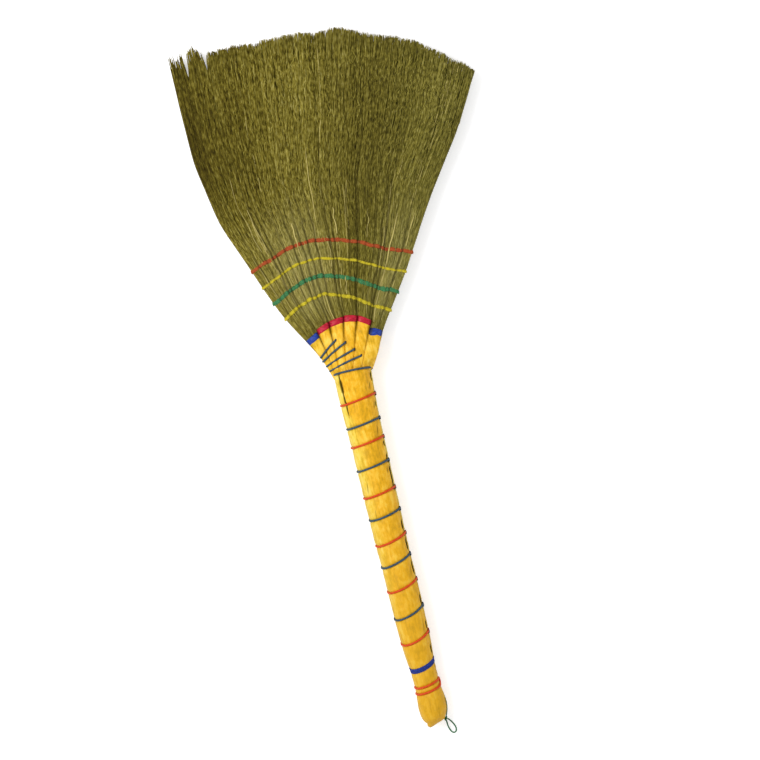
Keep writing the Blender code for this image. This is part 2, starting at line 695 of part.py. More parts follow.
GREEN_CORD = new_material("green_cord", (0.06, 0.16, 0.09), 0.7)
BROOM = bpy.data.objects.new("broom_frame", None)
PARTS.objects.link(BROOM)

build_bundles()
build_neck_wires()
build_stitches()
build_handle_sleeve()
build_ties()
build_end_windings()
build_hanging_loop()
settle_frame()
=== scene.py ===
"""Hand broom of six stalk bundles, dressed: fine strands, wrinkled film, sewn threads and wires.

Shapes are worked out in millimetres on the broom: x to the right of the handle's axis, y from the
butt towards the fan, z up from the floor. World metres are those times MM plus ORIGIN.
"""

import json
import math
from collections import namedtuple

import bpy
import numpy as np
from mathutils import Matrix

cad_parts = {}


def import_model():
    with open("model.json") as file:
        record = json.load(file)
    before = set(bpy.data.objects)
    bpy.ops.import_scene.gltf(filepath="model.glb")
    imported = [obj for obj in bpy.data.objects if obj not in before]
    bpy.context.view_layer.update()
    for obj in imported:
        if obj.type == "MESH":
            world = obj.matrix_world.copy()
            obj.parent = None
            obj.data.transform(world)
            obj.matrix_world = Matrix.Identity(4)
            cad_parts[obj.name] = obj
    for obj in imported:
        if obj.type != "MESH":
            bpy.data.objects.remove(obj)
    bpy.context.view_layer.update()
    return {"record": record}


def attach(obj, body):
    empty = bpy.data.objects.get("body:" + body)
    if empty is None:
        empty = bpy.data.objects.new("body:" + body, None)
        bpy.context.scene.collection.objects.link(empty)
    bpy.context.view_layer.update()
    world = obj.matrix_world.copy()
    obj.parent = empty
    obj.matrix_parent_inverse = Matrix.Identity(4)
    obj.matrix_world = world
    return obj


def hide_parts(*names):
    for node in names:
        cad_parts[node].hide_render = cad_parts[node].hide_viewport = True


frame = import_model()

MM = 0.001
BUNDLES = 6
BUTT_LEAN, BUTT_HEIGHT = 1.5, 16.5
MOUNTS = {mount["name"]: mount for mount in frame["record"]["mounts"]}
ORIGIN = np.array(MOUNTS["butt_end"]["pos_m"]) - np.array((BUTT_LEAN, 0, BUTT_HEIGHT)) * MM

# The camera looks straight down on this point of the broom, turned so that the handle leans
VIEW_X, VIEW_Y, VIEW_WIDTH = 30.0, 397.3, 874.0
VIEW_HEIGHT = 5000.0
VIEW_PLANE = 18.0
VIEW_TURN = math.radians(-13.52)
SENSOR = 36.0
UP, ALONG = (0.0, 0.0, 1.0), (0.0, 1.0, 0.0)

# Rows across the head: distance, left x, left y, right x, right y, crown, thickness
HEAD_ROWS = np.array((
    (408.0, -20.5, 408.0, 22.5, 408.0, 0.0, 42.0),
    (433.0, -28.5, 435.5, 37.5, 431.0, 10.0, 33.0),
    (457.0, -43.0, 461.5, 46.0, 453.0, 20.5, 25.0),
    (482.5, -59.8, 491.0, 61.5, 474.0, 25.0, 19.5),
    (502.0, -68.2, 511.0, 75.0, 493.5, 27.0, 20.5),
    (522.0, -76.0, 531.0, 88.5, 512.5, 28.0, 21.5),
    (542.5, -83.5, 552.0, 100.5, 533.0, 28.5, 23.5),
    (604.0, -107.0, 614.0, 138.0, 594.0, 31.0, 28.5),
    (672.0, -119.5, 690.0, 181.5, 654.0, 33.0, 31.0),
    (770.0, -120.5, 817.5, 221.5, 722.5, 35.0, 33.5),
    (800.0, -120.5, 856.0, 233.5, 743.5, 35.5, 34.0),
))
ROW_SMOOTHING = 18.0
CROWN_SKEW = 1.16
NECK_HEIGHT, TIP_HEIGHT = 23.7, 16.7

# Where the tips end: share of the way across, and how far past the row at TIP_AT
TIP_AT = 770.0
TIP_PROFILE = (
    (0.0, -5.5), (0.03, -3.0), (0.05, -1.0), (0.1, 0.5), (0.15, -8.0), (0.23, -6.5), (0.31, -7.5),
    (0.4, -3.0), (0.48, -2.0), (0.56, 2.5), (0.59, 4.5), (0.64, 1.0), (0.71, 0.5), (0.81, 5.5),
    (0.86, 2.0), (0.9, -1.5), (0.95, -4.0), (0.965, -3.0), (1.0, -8.5),
)
# Splits between tufts at the tips: share, half width at the tip, length, and how fast it narrows
TUFT_SPLITS = (
    (0.054, 3.3, 33.0, 0.75), (0.1215, 5.6, 33.0, 1.5), (0.2, 0.8, 26.0, 1.3), (0.93, 0.7, 22.0, 1.3),
)
SPLIT_REACH = 0.036
# Where the loose part of the fan is darker, from the left: share and how much
FAN_SHADE = (
    (0.0, 0.9), (0.04, 0.8), (0.07, 0.45), (0.12, 0.4), (0.15, 0.42), (0.2, 0.34), (0.25, 0.12),
    (0.3, 0.06), (0.42, -0.08), (0.5, 0.06), (0.6, 0.2), (0.66, 0.3), (0.74, 0.34), (0.8, 0.14),
    (0.86, 0.06), (0.95, 0.06), (1.0, 0.3),
)
# The row from which that shade sets in, by share
SHADE_ROWS = (
    (0.0, 575.0), (0.15, 560.0), (0.25, 545.0), (0.55, 540.0), (0.66, 495.0), (0.8, 495.0), (0.9, 540.0),
)
SHADE_LENGTH = 90.0

NECK_AT, MOUTH_AT, BEND_AT = 408.0, 457.0, 604.0
# The rows where the strands come out of the rings, and the last row that the sewing holds
RING_MOUTH = (453.0, 459.0, 466.0)
SEWN_END = 545.0
STITCH_AT = (482.5, 502.0, 522.0, 542.5)
STITCH_WIDTHS, STITCH_THICKNESS = (2.3, 2.9, 1.75, 2.6), 0.85
# How far the sewn rows run above the crown of the head, at shares of the way across
STITCH_SWAY = (
    (0.0, 0.0), (0.1, 1.5), (0.27, 3.2), (0.4, 1.0), (0.5, -3.0), (0.62, -6.8), (0.75, -9.8), (0.85, -9.8),
    (0.93, -6.0), (1.0, -1.5),
)
BUNDLE_EDGES = tuple(k / BUNDLES for k in range(BUNDLES + 1))
SHARES_AT_NECK = (BUNDLE_EDGES, (0.0, 0.06, 0.17, 0.33, 0.5, 0.7, 1.0))
SHARES_AT_MOUTH = (BUNDLE_EDGES, (0.0, 0.175, 0.35, 0.548, 0.723, 0.89, 1.0))

# The handle's sheet: distance from the butt, middle x, half width
HANDLE_ROWS = np.array((
    (-3.0, -2.9, 7.2), (0.0, -0.4, 11.0), (6.0, 0.2, 13.7), (12.0, 0.7, 15.5), (20.0, 1.1, 16.4),
    (28.0, 1.3, 16.1), (38.0, 1.1, 15.0), (48.0, 0.9, 14.6), (62.0, 0.5, 14.9), (88.0, 0.0, 16.8),
    (116.0, -0.2, 17.8), (150.0, -0.2, 18.2), (200.0, -0.8, 18.2), (256.0, -0.8, 19.1),
    (312.0, -0.8, 19.6), (350.0, -0.4, 20.0), (382.0, 0.0, 21.0), (408.0, 1.2, 21.8), (417.0, 1.7, 22.4),
))
HANDLE_CLEAR = 2.6
# The heights between which the handle's middle comes up from the butt's
BUTT_RISE = (26.0, 40.0)

# Ties from the neck down: height of the left and of the right end
RED_TIES = ((378.8, 384.6), (328.8, 334.5), (269.2, 275.3), (212.8, 221.2), (158.2, 167.0), (96.6, 105.8))
DARK_TIES = ((350.8, 356.4), (300.8, 307.0), (243.2, 249.8), (187.2, 196.8), (126.2, 136.2))
RED_BANDS = ((44.0, 48.6), (36.8, 41.2))
BLUE_BAND = (64.6, 71.4)
TIE_RADIUS, TIE_SUNK = 1.2, 1.35
# Neck wires: left end, right end and how many bundles they hold
NECK_WIRES = (
    ((-29.4, 438.2), (-9.1, 453.2), 2), ((-27.8, 433.0), (1.3, 448.2), 3), ((-24.9, 426.8), (9.3, 438.2), 4),
    ((-22.6, 420.6), (15.4, 429.4), 5), ((-20.9, 414.6), (23.9, 413.4), 6),
)
LAST_NECK_TIE = (NECK_WIRES[-1][0][1], NECK_WIRES[-1][1][1])
ALL_TIES = (*RED_TIES, *DARK_TIES, *RED_BANDS, BLUE_BAND, LAST_NECK_TIE)
# How far a tie's front hangs below its ends, by its height, and two ties with a dip of their own
TIE_DIPS = ((42.0, 2.8), (101.0, 5.4), (131.0, 4.8), (190.0, 3.7), (247.0, 2.9), (300.0, 1.5), (385.0, 1.2))
OWN_DIPS = {BLUE_BAND: 4.6, LAST_NECK_TIE: -1.8}

# The cord's loop, along the route of the CAD's cord, its knot and its way up the sheet
CORD_DIAMETER = 1.8
LOOP_ROUTE = (
    (15.2, -0.6, 7.2), (17.2, -3.0, 6.2), (19.2, -6.2, 4.7), (20.8, -9.8, 3.1), (21.6, -13.6, 1.7),
    (20.8, -16.8, 0.95), (18.4, -18.0, 0.9), (16.0, -16.6, 1.0), (14.4, -13.6, 2.0), (13.3, -9.6, 3.7),
    (12.9, -5.4, 5.5), (12.8, -1.8, 7.0),
)
KNOT_PLACE = (12.0, 0.9, 8.4)
TAIL_ROUTE = (
    (13.2, 1.6, 8.6), (14.8, 6.0, 11.5), (16.6, 12.0, 14.5), (17.6, 20.0, 17.0), (16.9, 28.0, 19.2),
    (15.4, 35.0, 21.5),
)
CORD_PLIES, CORD_LAY = 3, 4.2


def between(table, place):
    """What a table of places and values gives at a place between its rows."""
    return np.interp(place, *np.array(table).T)


def smoothed(places, values, at):
    """The values between rows, with the corners at the rows rounded off."""
    steps = np.linspace(-ROW_SMOOTHING, ROW_SMOOTHING, 9)
    weights = 1 - np.abs(steps) / (ROW_SMOOTHING * 1.25)
    inside = np.clip(np.asarray(at, float)[..., None] + steps, places[0], places[-1])
    return (np.interp(inside, places, values) * weights).sum(-1) / weights.sum()


def head_row(at):
    """Left x and y, right x and y, crown and thickness of the rows at some distances."""
    return [smoothed(HEAD_ROWS[:, 0], HEAD_ROWS[:, column], at) for column in range(1, 7)]


def crowded(share, at):
    """The share in width that a share in bundles comes to: at the neck they crowd to the left."""
    share = np.asarray(share, float)
    at_neck = np.interp(share, *SHARES_AT_NECK)
    at_mouth = np.interp(share, *SHARES_AT_MOUTH)
    up = np.clip((at - NECK_AT) / (MOUTH_AT - NECK_AT), 0, 1)
    out = np.clip((at - MOUTH_AT) / (BEND_AT - MOUTH_AT), 0, 1)
    inside = at_neck + (at_mouth - at_neck) * up
    inside = inside + (share - inside) * out
    return np.where((share < 0) | (share > 1), share, inside)


def head_point(share, at):
    """x and y of a place in the head: its share of the way across, and its row."""
    left_x, left_y, right_x, right_y, crown, _ = head_row(at)
    skewed = np.clip(share, 0, 1) ** CROWN_SKEW
    across = crowded(share, at)
    x = left_x + across * (right_x - left_x)
    y = left_y + across * (right_y - left_y) + 4 * skewed * (1 - skewed) * crown
    return x, y


def head_width(at):
    """How wide the head is at its rows."""
    left_x, _, right_x, _, _, _ = head_row(at)
    return right_x - left_x


def head_height(at):
    """How high the middle of the head lies at its rows."""
    return np.interp(at, (NECK_AT, TIP_AT), (NECK_HEIGHT, TIP_HEIGHT))


# Meshes from arrays


def world(points):
    """Points in the broom's millimetres as world metres."""
    return np.asarray(points, float) * MM + ORIGIN


def new_mesh(name, material, points, quads, triangles=(), attributes=None):
    """An object from arrays of points, of four-sided and of three-sided faces."""
    points = world(points).reshape(-1, 3)
    quads = np.asarray(quads, int).reshape(-1, 4)
    triangles = np.asarray(triangles, int).reshape(-1, 3)
    mesh = bpy.data.meshes.new(name)
    mesh.vertices.add(len(points))
    mesh.vertices.foreach_set("co", points.astype(np.float32).ravel())
    corners = np.concatenate((quads.ravel(), triangles.ravel()))
    mesh.loops.add(len(corners))
    mesh.loops.foreach_set("vertex_index", corners.astype(np.int32))
    starts = np.concatenate((np.arange(len(quads)) * 4, len(quads) * 4 + np.arange(len(triangles)) * 3))
    mesh.polygons.add(len(starts))
    mesh.polygons.foreach_set("loop_start", starts.astype(np.int32))
    mesh.polygons.foreach_set("use_smooth", np.full(len(starts), True))
    for key, values in (attributes or {}).items():
        layer = mesh.attributes.new(key, "FLOAT", "POINT")
        layer.data.foreach_set("value", np.asarray(values, np.float32).ravel())
    mesh.update(calc_edges=True)
    mesh.validate()
    mesh.materials.append(material)
    piece = bpy.data.objects.new(name, mesh)
    bpy.context.scene.collection.objects.link(piece)
    return piece


def dress(piece, *nodes, body="broom"):
    """The piece rides on a body and stands for CAD nodes."""
    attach(piece, body)
    if nodes:
        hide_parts(*nodes)


def grid_faces(rows, columns, closed_rows=False, closed_columns=False):
    """Four-sided faces between the points of a grid, stored row by row."""
    row = np.arange(rows if closed_rows else rows - 1)
    column = np.arange(columns if closed_columns else columns - 1)
    row, column = np.meshgrid(row, column, indexing="ij")
    following, across = (row + 1) % rows, (column + 1) % columns
    quads = np.stack((
        row * columns + column, following * columns + column,
        following * columns + across, row * columns + across,
    ), -1)
    return quads.reshape(-1, 4)


def wander(rng, lines, samples, knots):
    """Smooth random lines, one a row, mostly between -1 and 1."""
    values = rng.uniform(-1.5, 1.5, (lines, knots + 3))
    place = np.linspace(0, knots - 1e-6, samples)
    k = place.astype(int)
    t = place - k
    weights = (
        (1 - t) ** 3 / 6, (3 * t ** 3 - 6 * t ** 2 + 4) / 6,
        (-3 * t ** 3 + 3 * t ** 2 + 3 * t + 1) / 6, t ** 3 / 6,
    )
    return sum(values[:, k + n] * weight for n, weight in enumerate(weights))


def spread_lines(lines, rows, smooth=False):
    """Lines across set out evenly along a number of rows, each row blended from two of them."""
    place = np.linspace(0, len(lines) - 1.001, rows)
    k, t = place.astype(int), (place % 1)[:, None]
    if smooth:
        t = t * t * (3 - 2 * t)
    return lines[k] * (1 - t) + lines[k + 1] * t


def directions(path):
    """The unit direction along each path at each of its points."""
    along = np.gradient(path, axis=-2)
    return along / np.linalg.norm(along, axis=-1, keepdims=True)


def side_and_rise(along, up):
    """The unit directions to the side of a path's direction and above it."""
    side = np.cross(along, np.broadcast_to(np.asarray(up, float), along.shape))
    side /= np.linalg.norm(side, axis=-1, keepdims=True)
    return side, np.cross(side, along)


def sweep(path, outline_side, outline_up, closed, up):
    """Rings of points along a path: the outline's side and up distances may change along it."""
    if closed:
        around = np.concatenate((path[-1:], path, path[:1]))
        along = around[2:] - around[:-2]
        along /= np.linalg.norm(along, axis=-1, keepdims=True)
    else:
        along = directions(path)
    side, rise = side_and_rise(along, up)
    return path[:, None] + side[:, None] * outline_side[..., None] + rise[:, None] * outline_up[..., None]


def tube(path, radius, sides=10, up=UP, closed=False, plies=0, lay=0.0):
    """A round wire, or a cord laid up from plies."""
    path = np.asarray(path, float)
    radius = np.broadcast_to(np.asarray(radius, float), len(path))[:, None]
    angle = np.arange(sides)[None] * 2 * math.pi / sides
    if plies:
        steps = np.linalg.norm(np.diff(path, axis=0), axis=1)
        reach = np.concatenate(((0.0,), np.cumsum(steps)))[:, None]
        lobes = np.abs(np.cos(plies / 2 * (angle - 2 * math.pi * reach / lay)))
        radius = radius * (0.74 + 0.26 * lobes)
    points = sweep(path, radius * np.cos(angle), radius * np.sin(angle), closed, up).reshape(-1, 3)
    quads = grid_faces(len(path), sides, closed_rows=closed, closed_columns=True)
    if closed:
        return points, quads, np.empty((0, 3), int)
    fan = np.arange(1, sides - 1)
    first = np.stack((np.zeros_like(fan), fan, fan + 1), -1)
    last = (len(path) - 1) * sides + first[:, [0, 2, 1]]
    return points, quads, np.concatenate((first, last))


def green_tube(path, radius, sides=12, closed=False):
    """A stretch of the hanging cord."""
    return tube(path, radius, sides, closed=closed, plies=CORD_PLIES, lay=CORD_LAY)


def joined(name, material, parts, marks=None):
    """One piece from several (points, quads, triangles), each with its own mark if there are any."""
    counts = [len(points) for points, _, _ in parts]
    starts = np.cumsum((0, *counts[:-1]))
    return new_mesh(
        name, material, np.concatenate([points for points, _, _ in parts]),
        np.concatenate([quads + start for (_, quads, _), start in zip(parts, starts)]),
        np.concatenate([triangles + start for (_, _, triangles), start in zip(parts, starts)]),
        {"mark": np.repeat(marks, counts)} if marks else None,
    )


def curve_through(points, steps):
    """A smooth line through points, with some steps between each two."""
    points = np.asarray(points, float)
    padded = np.concatenate((2 * points[:1] - points[1:2], points, 2 * points[-1:] - points[-2:-1]))
    t = np.arange(steps)[:, None] / steps
    line = [
        (2 * b + (c - a) * t + (2 * a - 5 * b + 4 * c - d) * t ** 2 + (3 * b - 3 * c - a + d) * t ** 3) / 2
        for a, b, c, d in zip(padded, padded[1:], padded[2:], padded[3:])
    ]
    return np.concatenate((*line, points[-1:]))


def round_the_head(line, middle, half, bulges, count, power=1.0):
    """A closed path over the front and the back of the head, with a bulge at its right and left end."""
    front = np.column_stack((line, middle + half))
    back = np.column_stack((line, middle - half))[::-1]
    turn = np.linspace(0, math.pi, count + 2)[1:-1]
    arcs = []
    for end, height, bulge in ((front[-1], middle[-1], bulges[0]), (front[0], middle[0], -bulges[1])):
        arc = np.column_stack((
            end[0] + bulge * np.sin(turn) ** power, np.full(count, end[1]),
            height + (end[2] - height) * np.cos(turn),
        ))
        arcs.append(arc if bulge > 0 else arc[::-1])
    return np.concatenate((front, arcs[0], back, arcs[1]))


# Film


def handle_section(y):
    """Middle x, middle z and half width of the handle at a distance from the butt."""
    distances, middles, halves = HANDLE_ROWS.T
    half = sum(np.interp(y + step, distances, halves) for step in (-4.0, -2.0, 0.0, 2.0, 4.0)) / 5
    risen = np.interp(y, BUTT_RISE, (0.0, 1.0))
    return np.interp(y, distances, middles), BUTT_HEIGHT + risen * (half + HANDLE_CLEAR - BUTT_HEIGHT), half


def tie_height(ends, angle):
    """Where a tie crosses at an angle round the handle, 0 on the right and a quarter turn in front."""
    left, right = ends
    middle = (left + right) / 2
    dip = OWN_DIPS.get(ends, between(TIE_DIPS, middle))
    return middle + (right - left) / 2 * np.cos(angle) - dip * np.sin(angle)


# The sheet's open edge along the right, wide where the stalks show: height and half length
SLIT_ANGLE, SLIT_START = math.radians(16), 52.0
SLIT_NARROW, SLIT_WIDE, SLIT_WIDEST = 0.7, 8.0, 6.2
SLIT_GAPS = (
    (404.0, 5.0), (372.0, 3.0), (326.0, 3.0), (309.0, 4.5), (291.0, 7.0), (277.0, 6.5), (230.0, 6.0),
    (207.0, 7.5), (180.0, 8.0), (142.0, 6.0), (112.0, 5.0), (84.0, 5.0),
)
# The overlapping edge in front on the left: height and x, its gap's half width, and the pale part's edge
EDGE_LINE = ((150.0, -17.6), (250.0, -16.8), (330.0, -15.6), (366.0, -14.2), (392.0, -15.6), (418.0, -17.2))
EDGE_GAP = (
    (362.0, 0.0), (368.0, 1.0), (374.0, 1.5), (386.0, 1.8), (391.0, 1.2), (394.0, 2.7), (405.0, 3.1),
    (409.0, 1.6), (417.0, 1.8),
)
PALE_LINE = (
    (60.0, -15.0), (150.0, -12.0), (250.0, -9.5), (330.0, -7.0), (360.0, -9.0), (368.0, -14.0),
    (392.0, -15.6), (418.0, -17.2),
)
# Short folds on the sheet's front, with painted shade in them: height, half length, x and depth
FOLDS = (
    (394.0, 4.5, 17.2, 0.8), (371.5, 4.0, 17.0, 0.7), (342.5, 5.0, 14.2, 0.75), (296.0, 4.5, 14.6, 0.5),
    (280.0, 6.0, -12.6, 0.6), (249.0, 5.0, -10.4, 0.45), (178.0, 6.0, 13.8, 0.4), (112.0, 7.0, 12.6, 0.4),
    (20.0, 9.0, -1.0, 0.22), (12.0, 7.0, 7.0, 0.25),
)
# The butt's folded edge: the cosine of the place round it, and its height
BUTT_EDGE = (
    (-1.0, 5.5), (-0.95, 2.0), (-0.85, -1.5), (-0.7, -4.2), (-0.5, -5.0), (-0.2, -4.4), (0.3, -3.0),
    (0.6, -1.5), (0.85, 0.0), (1.0, 1.5),
)
SHEET_TOP = 416.6
# The film's wrinkles, coarse and fine, and its grooves under the ties with the puckers beside them
WRINKLE, FINE_WRINKLE = 0.3, 0.16
GROOVE_WIDTH, BAND_GROOVE_WIDTH = 2.0, 4.0
PUCKER, PUCKER_REACH = 0.38, 6.0


def sheet_radius(rng, angle, y):
    """How far the wrinkled sheet lies from the handle's middle."""
    _, _, half = handle_section(y)
    rows, columns = angle.shape
    fine = spread_lines(wander(rng, rows // 4 + 2, columns, 46), rows, smooth=True)
    coarse = spread_lines(wander(rng, 10, columns, 17), rows)
    radius = half + WRINKLE * coarse + FINE_WRINKLE * fine
    for ends in ALL_TIES:
        away = y - tie_height(ends, angle)
        deep = np.exp(-(away / (BAND_GROOVE_WIDTH if ends is BLUE_BAND else GROOVE_WIDTH)) ** 2)
        pucker = wander(rng, 1, columns, 38)[0]
        near = np.exp(-np.abs(away) / PUCKER_REACH)
        radius = radius - TIE_SUNK * deep + PUCKER * near * pucker * (1 - deep)
    return radius


# Strands

RIB_CREASES = 20
SEAM_DEPTH, SEAM_END = 0.9, 700.0


def creases(rng):
    """Where the sewing pulls the strands apart: share, depth, and the row where it ends."""
    count = RIB_CREASES
    places = (np.arange(1, count + 1) + rng.uniform(-0.25, 0.25, count)) / (count + 1)
    depths = rng.uniform(0.25, 1.0, count)
    ends = np.where(places < 0.2, rng.uniform(690, 765, count), rng.uniform(585, 680, count))
    seams = [(edge, SEAM_DEPTH, SEAM_END) for edge in BUNDLE_EDGES[1:-1]]
    return np.concatenate((np.column_stack((places, depths, ends)), seams))


CREASE_RNG = np.random.default_rng(5)
CREASES = creases(CREASE_RNG)
CREASE_WIDTH, CREASE_SWERVE = 1.3, 0.45
# How a crease swerves: the length of each swing, and its shift with the share
SWERVES = ((11.0, 40.0), (4.7, 90.0))
# Where the sewn part of the fan is paler: along its rows, and across
SEWN_ROWS = ((MOUTH_AT, 466.0, 480.0, 530.0, 560.0, 583.0, 604.0), (0.0, 0.45, 1.0, 1.0, 0.65, 0.3, 0.0))
SEWN_SHARES = (
    (0.0, 0.1, 0.16, 0.24, 0.35, 0.45, 0.55, 0.66, 0.78, 0.86, 0.93, 1.0),
    (0.1, 0.5, 1.0, 1.3, 1.5, 0.7, 0.1, -0.8, 0.1, 0.6, 1.1, 0.2),
)
# The tufts whose tips are thin enough to see through: share and length of the thin part
SPARSE_TIPS = ((0.0, 17.0), (0.05, 17.0), (0.06, 9.0), (0.1, 10.0), (0.125, 4.0), (0.16, 0.0))
SPARSE_POWER = 1.3
TIP_RNG = np.random.default_rng(77)
# Clumps of strands that end a little early or late
CLUMP_SHARES = np.linspace(0, 1, 64)
CLUMPS = CREASE_RNG.uniform(-1.6, 1.3, len(CLUMP_SHARES))

Kind = namedtuple("Kind", "count samples radius wave waves ragged tones")
DARKEST, PALEST, FIRST_STRAW = -1, 1, 0.982
GRASS = (DARKEST, 0.97)
# Kinds of strands: how many a layer, points along each, radius, its crimp's size and waves, the
# raggedness of its ends, and the range of tones
SURFACE = Kind(62, 104, 0.6, 0.62, 56, 2.4, (DARKEST, PALEST))
UNDER = Kind(60, 30, 0.85, 0.5, 16, 3.0, GRASS)
INNER = Kind(130, 12, 1.0, 0.6, 5, 4.0, GRASS)
SIDE = Kind(56, 40, 0.75, 0.4, 18, 3.0, GRASS)
CURL = Kind(700, 7, 0.62, 1.4, 3, 0.0, GRASS)
STRAW = Kind(9, 24, 0.72, 0.7, 6, 0.0, (0.985, PALEST))
OVER = STRAW._replace(radius=1.25, wave=0.6, waves=5, tones=(0.99, PALEST))
# By row: how loose strands are, how much crimp they keep, how thick they are, how round the ribs
LOOSENESS = ((MOUTH_AT, 0.15), (SEWN_END, 0.35), (620.0, 0.85), (TIP_AT, 1.0))
CRIMP_KEPT = ((MOUTH_AT, 0.3), (480.0, 0.65), (600.0, 1.0))
THICKNESS = ((MOUTH_AT, 0.5), (SEWN_END, 0.72), (TIP_AT, 1.0))
RIB_ROUNDING = ((MOUTH_AT, 0.6), (500.0, 0.25), (640.0, 0.06))
# By share: how freely strands wander; along each strand: how it thins
FREEDOM = ((0.0, 0.35), (0.04, 0.45), (0.14, 1.0), (0.88, 1.0), (0.96, 0.6), (1.0, 0.5))
THINNING = ((0.0, 1.0), (0.9, 0.85), (1.0, 0.4))
# The slow drift of every strand, and how far the sewn rows and the creases sink into the face
DRIFT, DRIFT_WAVES = 2.2, 6
SEWN_WIDTH, SEWN_SUNK, CREASE_SUNK = 3.2, 0.9, 2.1
# How far below the mouth the strands start, in the last bundle too, and where curls and straws start
ROOT_BELOW, LAST_ROOT_BELOW = 4.5, 12.0
CURL_ROWS, STRAW_ROWS = (468.0, TIP_AT - 30.0), (460.0, 560.0)
# Pale straws that lie over the front and its threads: share, from and to
STRAWS_OVER = (
    (0.05, 498.0, 546.0), (0.14, 555.0, 604.0), (0.31, 542.0, 570.0), (0.375, 457.0, 489.0),
    (0.395, 458.0, 484.0), (0.49, 510.0, 545.0), (0.545, 545.0, 574.0), (0.58, 480.0, 498.0),
    (0.86, 457.0, 508.0), (0.87, 500.0, 572.0),
)


def sway(share):
    """How far a sewn row runs above the crown of the head there."""
    return between(STITCH_SWAY, share)


def crease_depth(share, at):
    """How deep a place lies in a crease, from 0 to 1."""
    share, at = np.broadcast_arrays(share, at)
    width = head_width(at)
    deepest = np.zeros(share.shape)
    for place, depth, end in CREASES:
        swerve = sum(CREASE_SWERVE * np.sin(at / length + shift * place) for length, shift in SWERVES)
        away = np.abs((share - place) * width + swerve)
        fade = np.interp(at, (MOUTH_AT, SEWN_END, 570.0, end), (0.75, 1.0, 0.75, 0.05))
        deepest = np.maximum(deepest, depth * fade * np.exp(-(away / CREASE_WIDTH) ** 2))
    return deepest


def split_push(share, at, past_tip):
    """How far strands move aside, as a share, to leave the splits between the tufts."""
    push = np.zeros(share.shape)
    for place, half_width, length, power in TUFT_SPLITS:
        opened = np.clip(1 + past_tip / length, 0, 1.1) ** power * half_width / head_width(at)
        away = share - place
        falling = np.clip(1 - np.abs(away) / SPLIT_REACH, 0, 1)
        push += np.sign(away) * falling * opened
    return push


def face_height(share, at, level):
    """How far above the middle plane a strand lies; level runs from -1, the back, to 1."""
    thickness = head_row(at)[5]
    reach = 2 * np.clip(share, 0, 1) - 1
    edge = np.sqrt(1 - 0.72 * reach ** 4)
    along = 2 * ((share * BUNDLES) % 1) - 1
    pinch = np.sqrt(1 - between(RIB_ROUNDING, at) * along ** 2)
    lag = at - sway(share)
    sewn = sum(np.exp(-((lag - row) / SEWN_WIDTH) ** 2) for row in STITCH_AT)
    half = thickness / 2 * edge * pinch - SEWN_SUNK * sewn - CREASE_SUNK * crease_depth(share, at)
    return half * np.interp(at, RING_MOUTH, (0.84, 0.88, 1.0)) * level


def tip_at(share):
    """The row where the strands of a share end."""
    return TIP_AT + between(TIP_PROFILE, share) + np.interp(share, CLUMP_SHARES, CLUMPS)


def strand_ends(rng, shares, ragged):
    """The rows where strands end: ragged, and thinned out in the sparse tufts."""
    spread = ragged * np.interp(shares, (0.11, 0.14), (2.6, 1.0))
    ends = tip_at(shares) - np.abs(rng.normal(0, 1, len(shares))) * spread + spread * 0.4
    return ends - between(SPARSE_TIPS, shares) * TIP_RNG.uniform(0, 1, len(shares)) ** SPARSE_POWER


def strand_shares(shares, at):
    """The shares along each strand, pushed out of the splits and gathered in the rings."""
    start = np.broadcast_to(shares[:, None], at.shape)
    share = start + split_push(start, at, at - tip_at(start))
    middle = (np.floor(share * BUNDLES) + 0.5) / BUNDLES
    gathered = np.interp(at, RING_MOUTH, (0.97, 0.98, 1.0))
    return np.where((share > 0) & (share < 1), middle + (share - middle) * gathered, share)


def strand_rings(rng, path, size, t):
    """Three points round each place along each strand, which turns slowly."""
    side, rise = side_and_rise(directions(path), UP)
    turn = rng.uniform(0, 2 * math.pi, (len(path), 1)) + t * rng.uniform(-3, 3, (len(path), 1))
    rings = []
    for corner in range(3):
        angle = (turn + corner * 2 * math.pi / 3)[..., None]
        rings.append(path + (side * np.cos(angle) + rise * np.sin(angle)) * size[..., None])
    return np.stack(rings, 2)


def strands(rng, kind, shares, levels, start_at, end_at=None):
    """Fine three-sided strands from a row of the head, to the tips or to an end of their own."""
    count = len(shares)
    if end_at is None:
        end_at = strand_ends(rng, shares, kind.ragged)
    t = np.linspace(0, 1, kind.samples)[None]
    at = start_at[:, None] + (end_at - start_at)[:, None] * t
    share = strand_shares(shares, at)
    drift = wander(rng, count, kind.samples, DRIFT_WAVES) * between(LOOSENESS, at) * DRIFT
    crimp = wander(rng, count, kind.samples, kind.waves) * kind.wave * between(CRIMP_KEPT, at)
    share = share + (drift + crimp) * between(FREEDOM, share) / head_width(at)
    x, y = head_point(share, at)
    level = levels[:, None]
    z = head_height(at) + face_height(share, at, level)
    z += wander(rng, count, kind.samples, kind.waves) * kind.wave * 0.6 * np.sign(level)
    size = kind.radius * rng.uniform(0.75, 1.3, (count, 1)) * between(THINNING, t) * between(THICKNESS, at)
    path = np.stack((x, y, np.maximum(z, size + 0.05)), -1)
    set_in = np.clip((at - between(SHADE_ROWS, share)) / SHADE_LENGTH, 0, 1)
    set_in = set_in * np.interp(at - tip_at(share), (-70.0, -10.0), (1.0, 0.5))
    return dict(
        points=strand_rings(rng, path, size, t),
        tone=np.broadcast_to(rng.uniform(*kind.tones, (count, 1)), at.shape),
        along=at + rng.uniform(0, 500, (count, 1)), row=at, crease=crease_depth(share, at), across=share,
        sewn=np.interp(at, *SEWN_ROWS) * np.interp(share, *SEWN_SHARES),
        shade=between(FAN_SHADE, share) * set_in,
    )


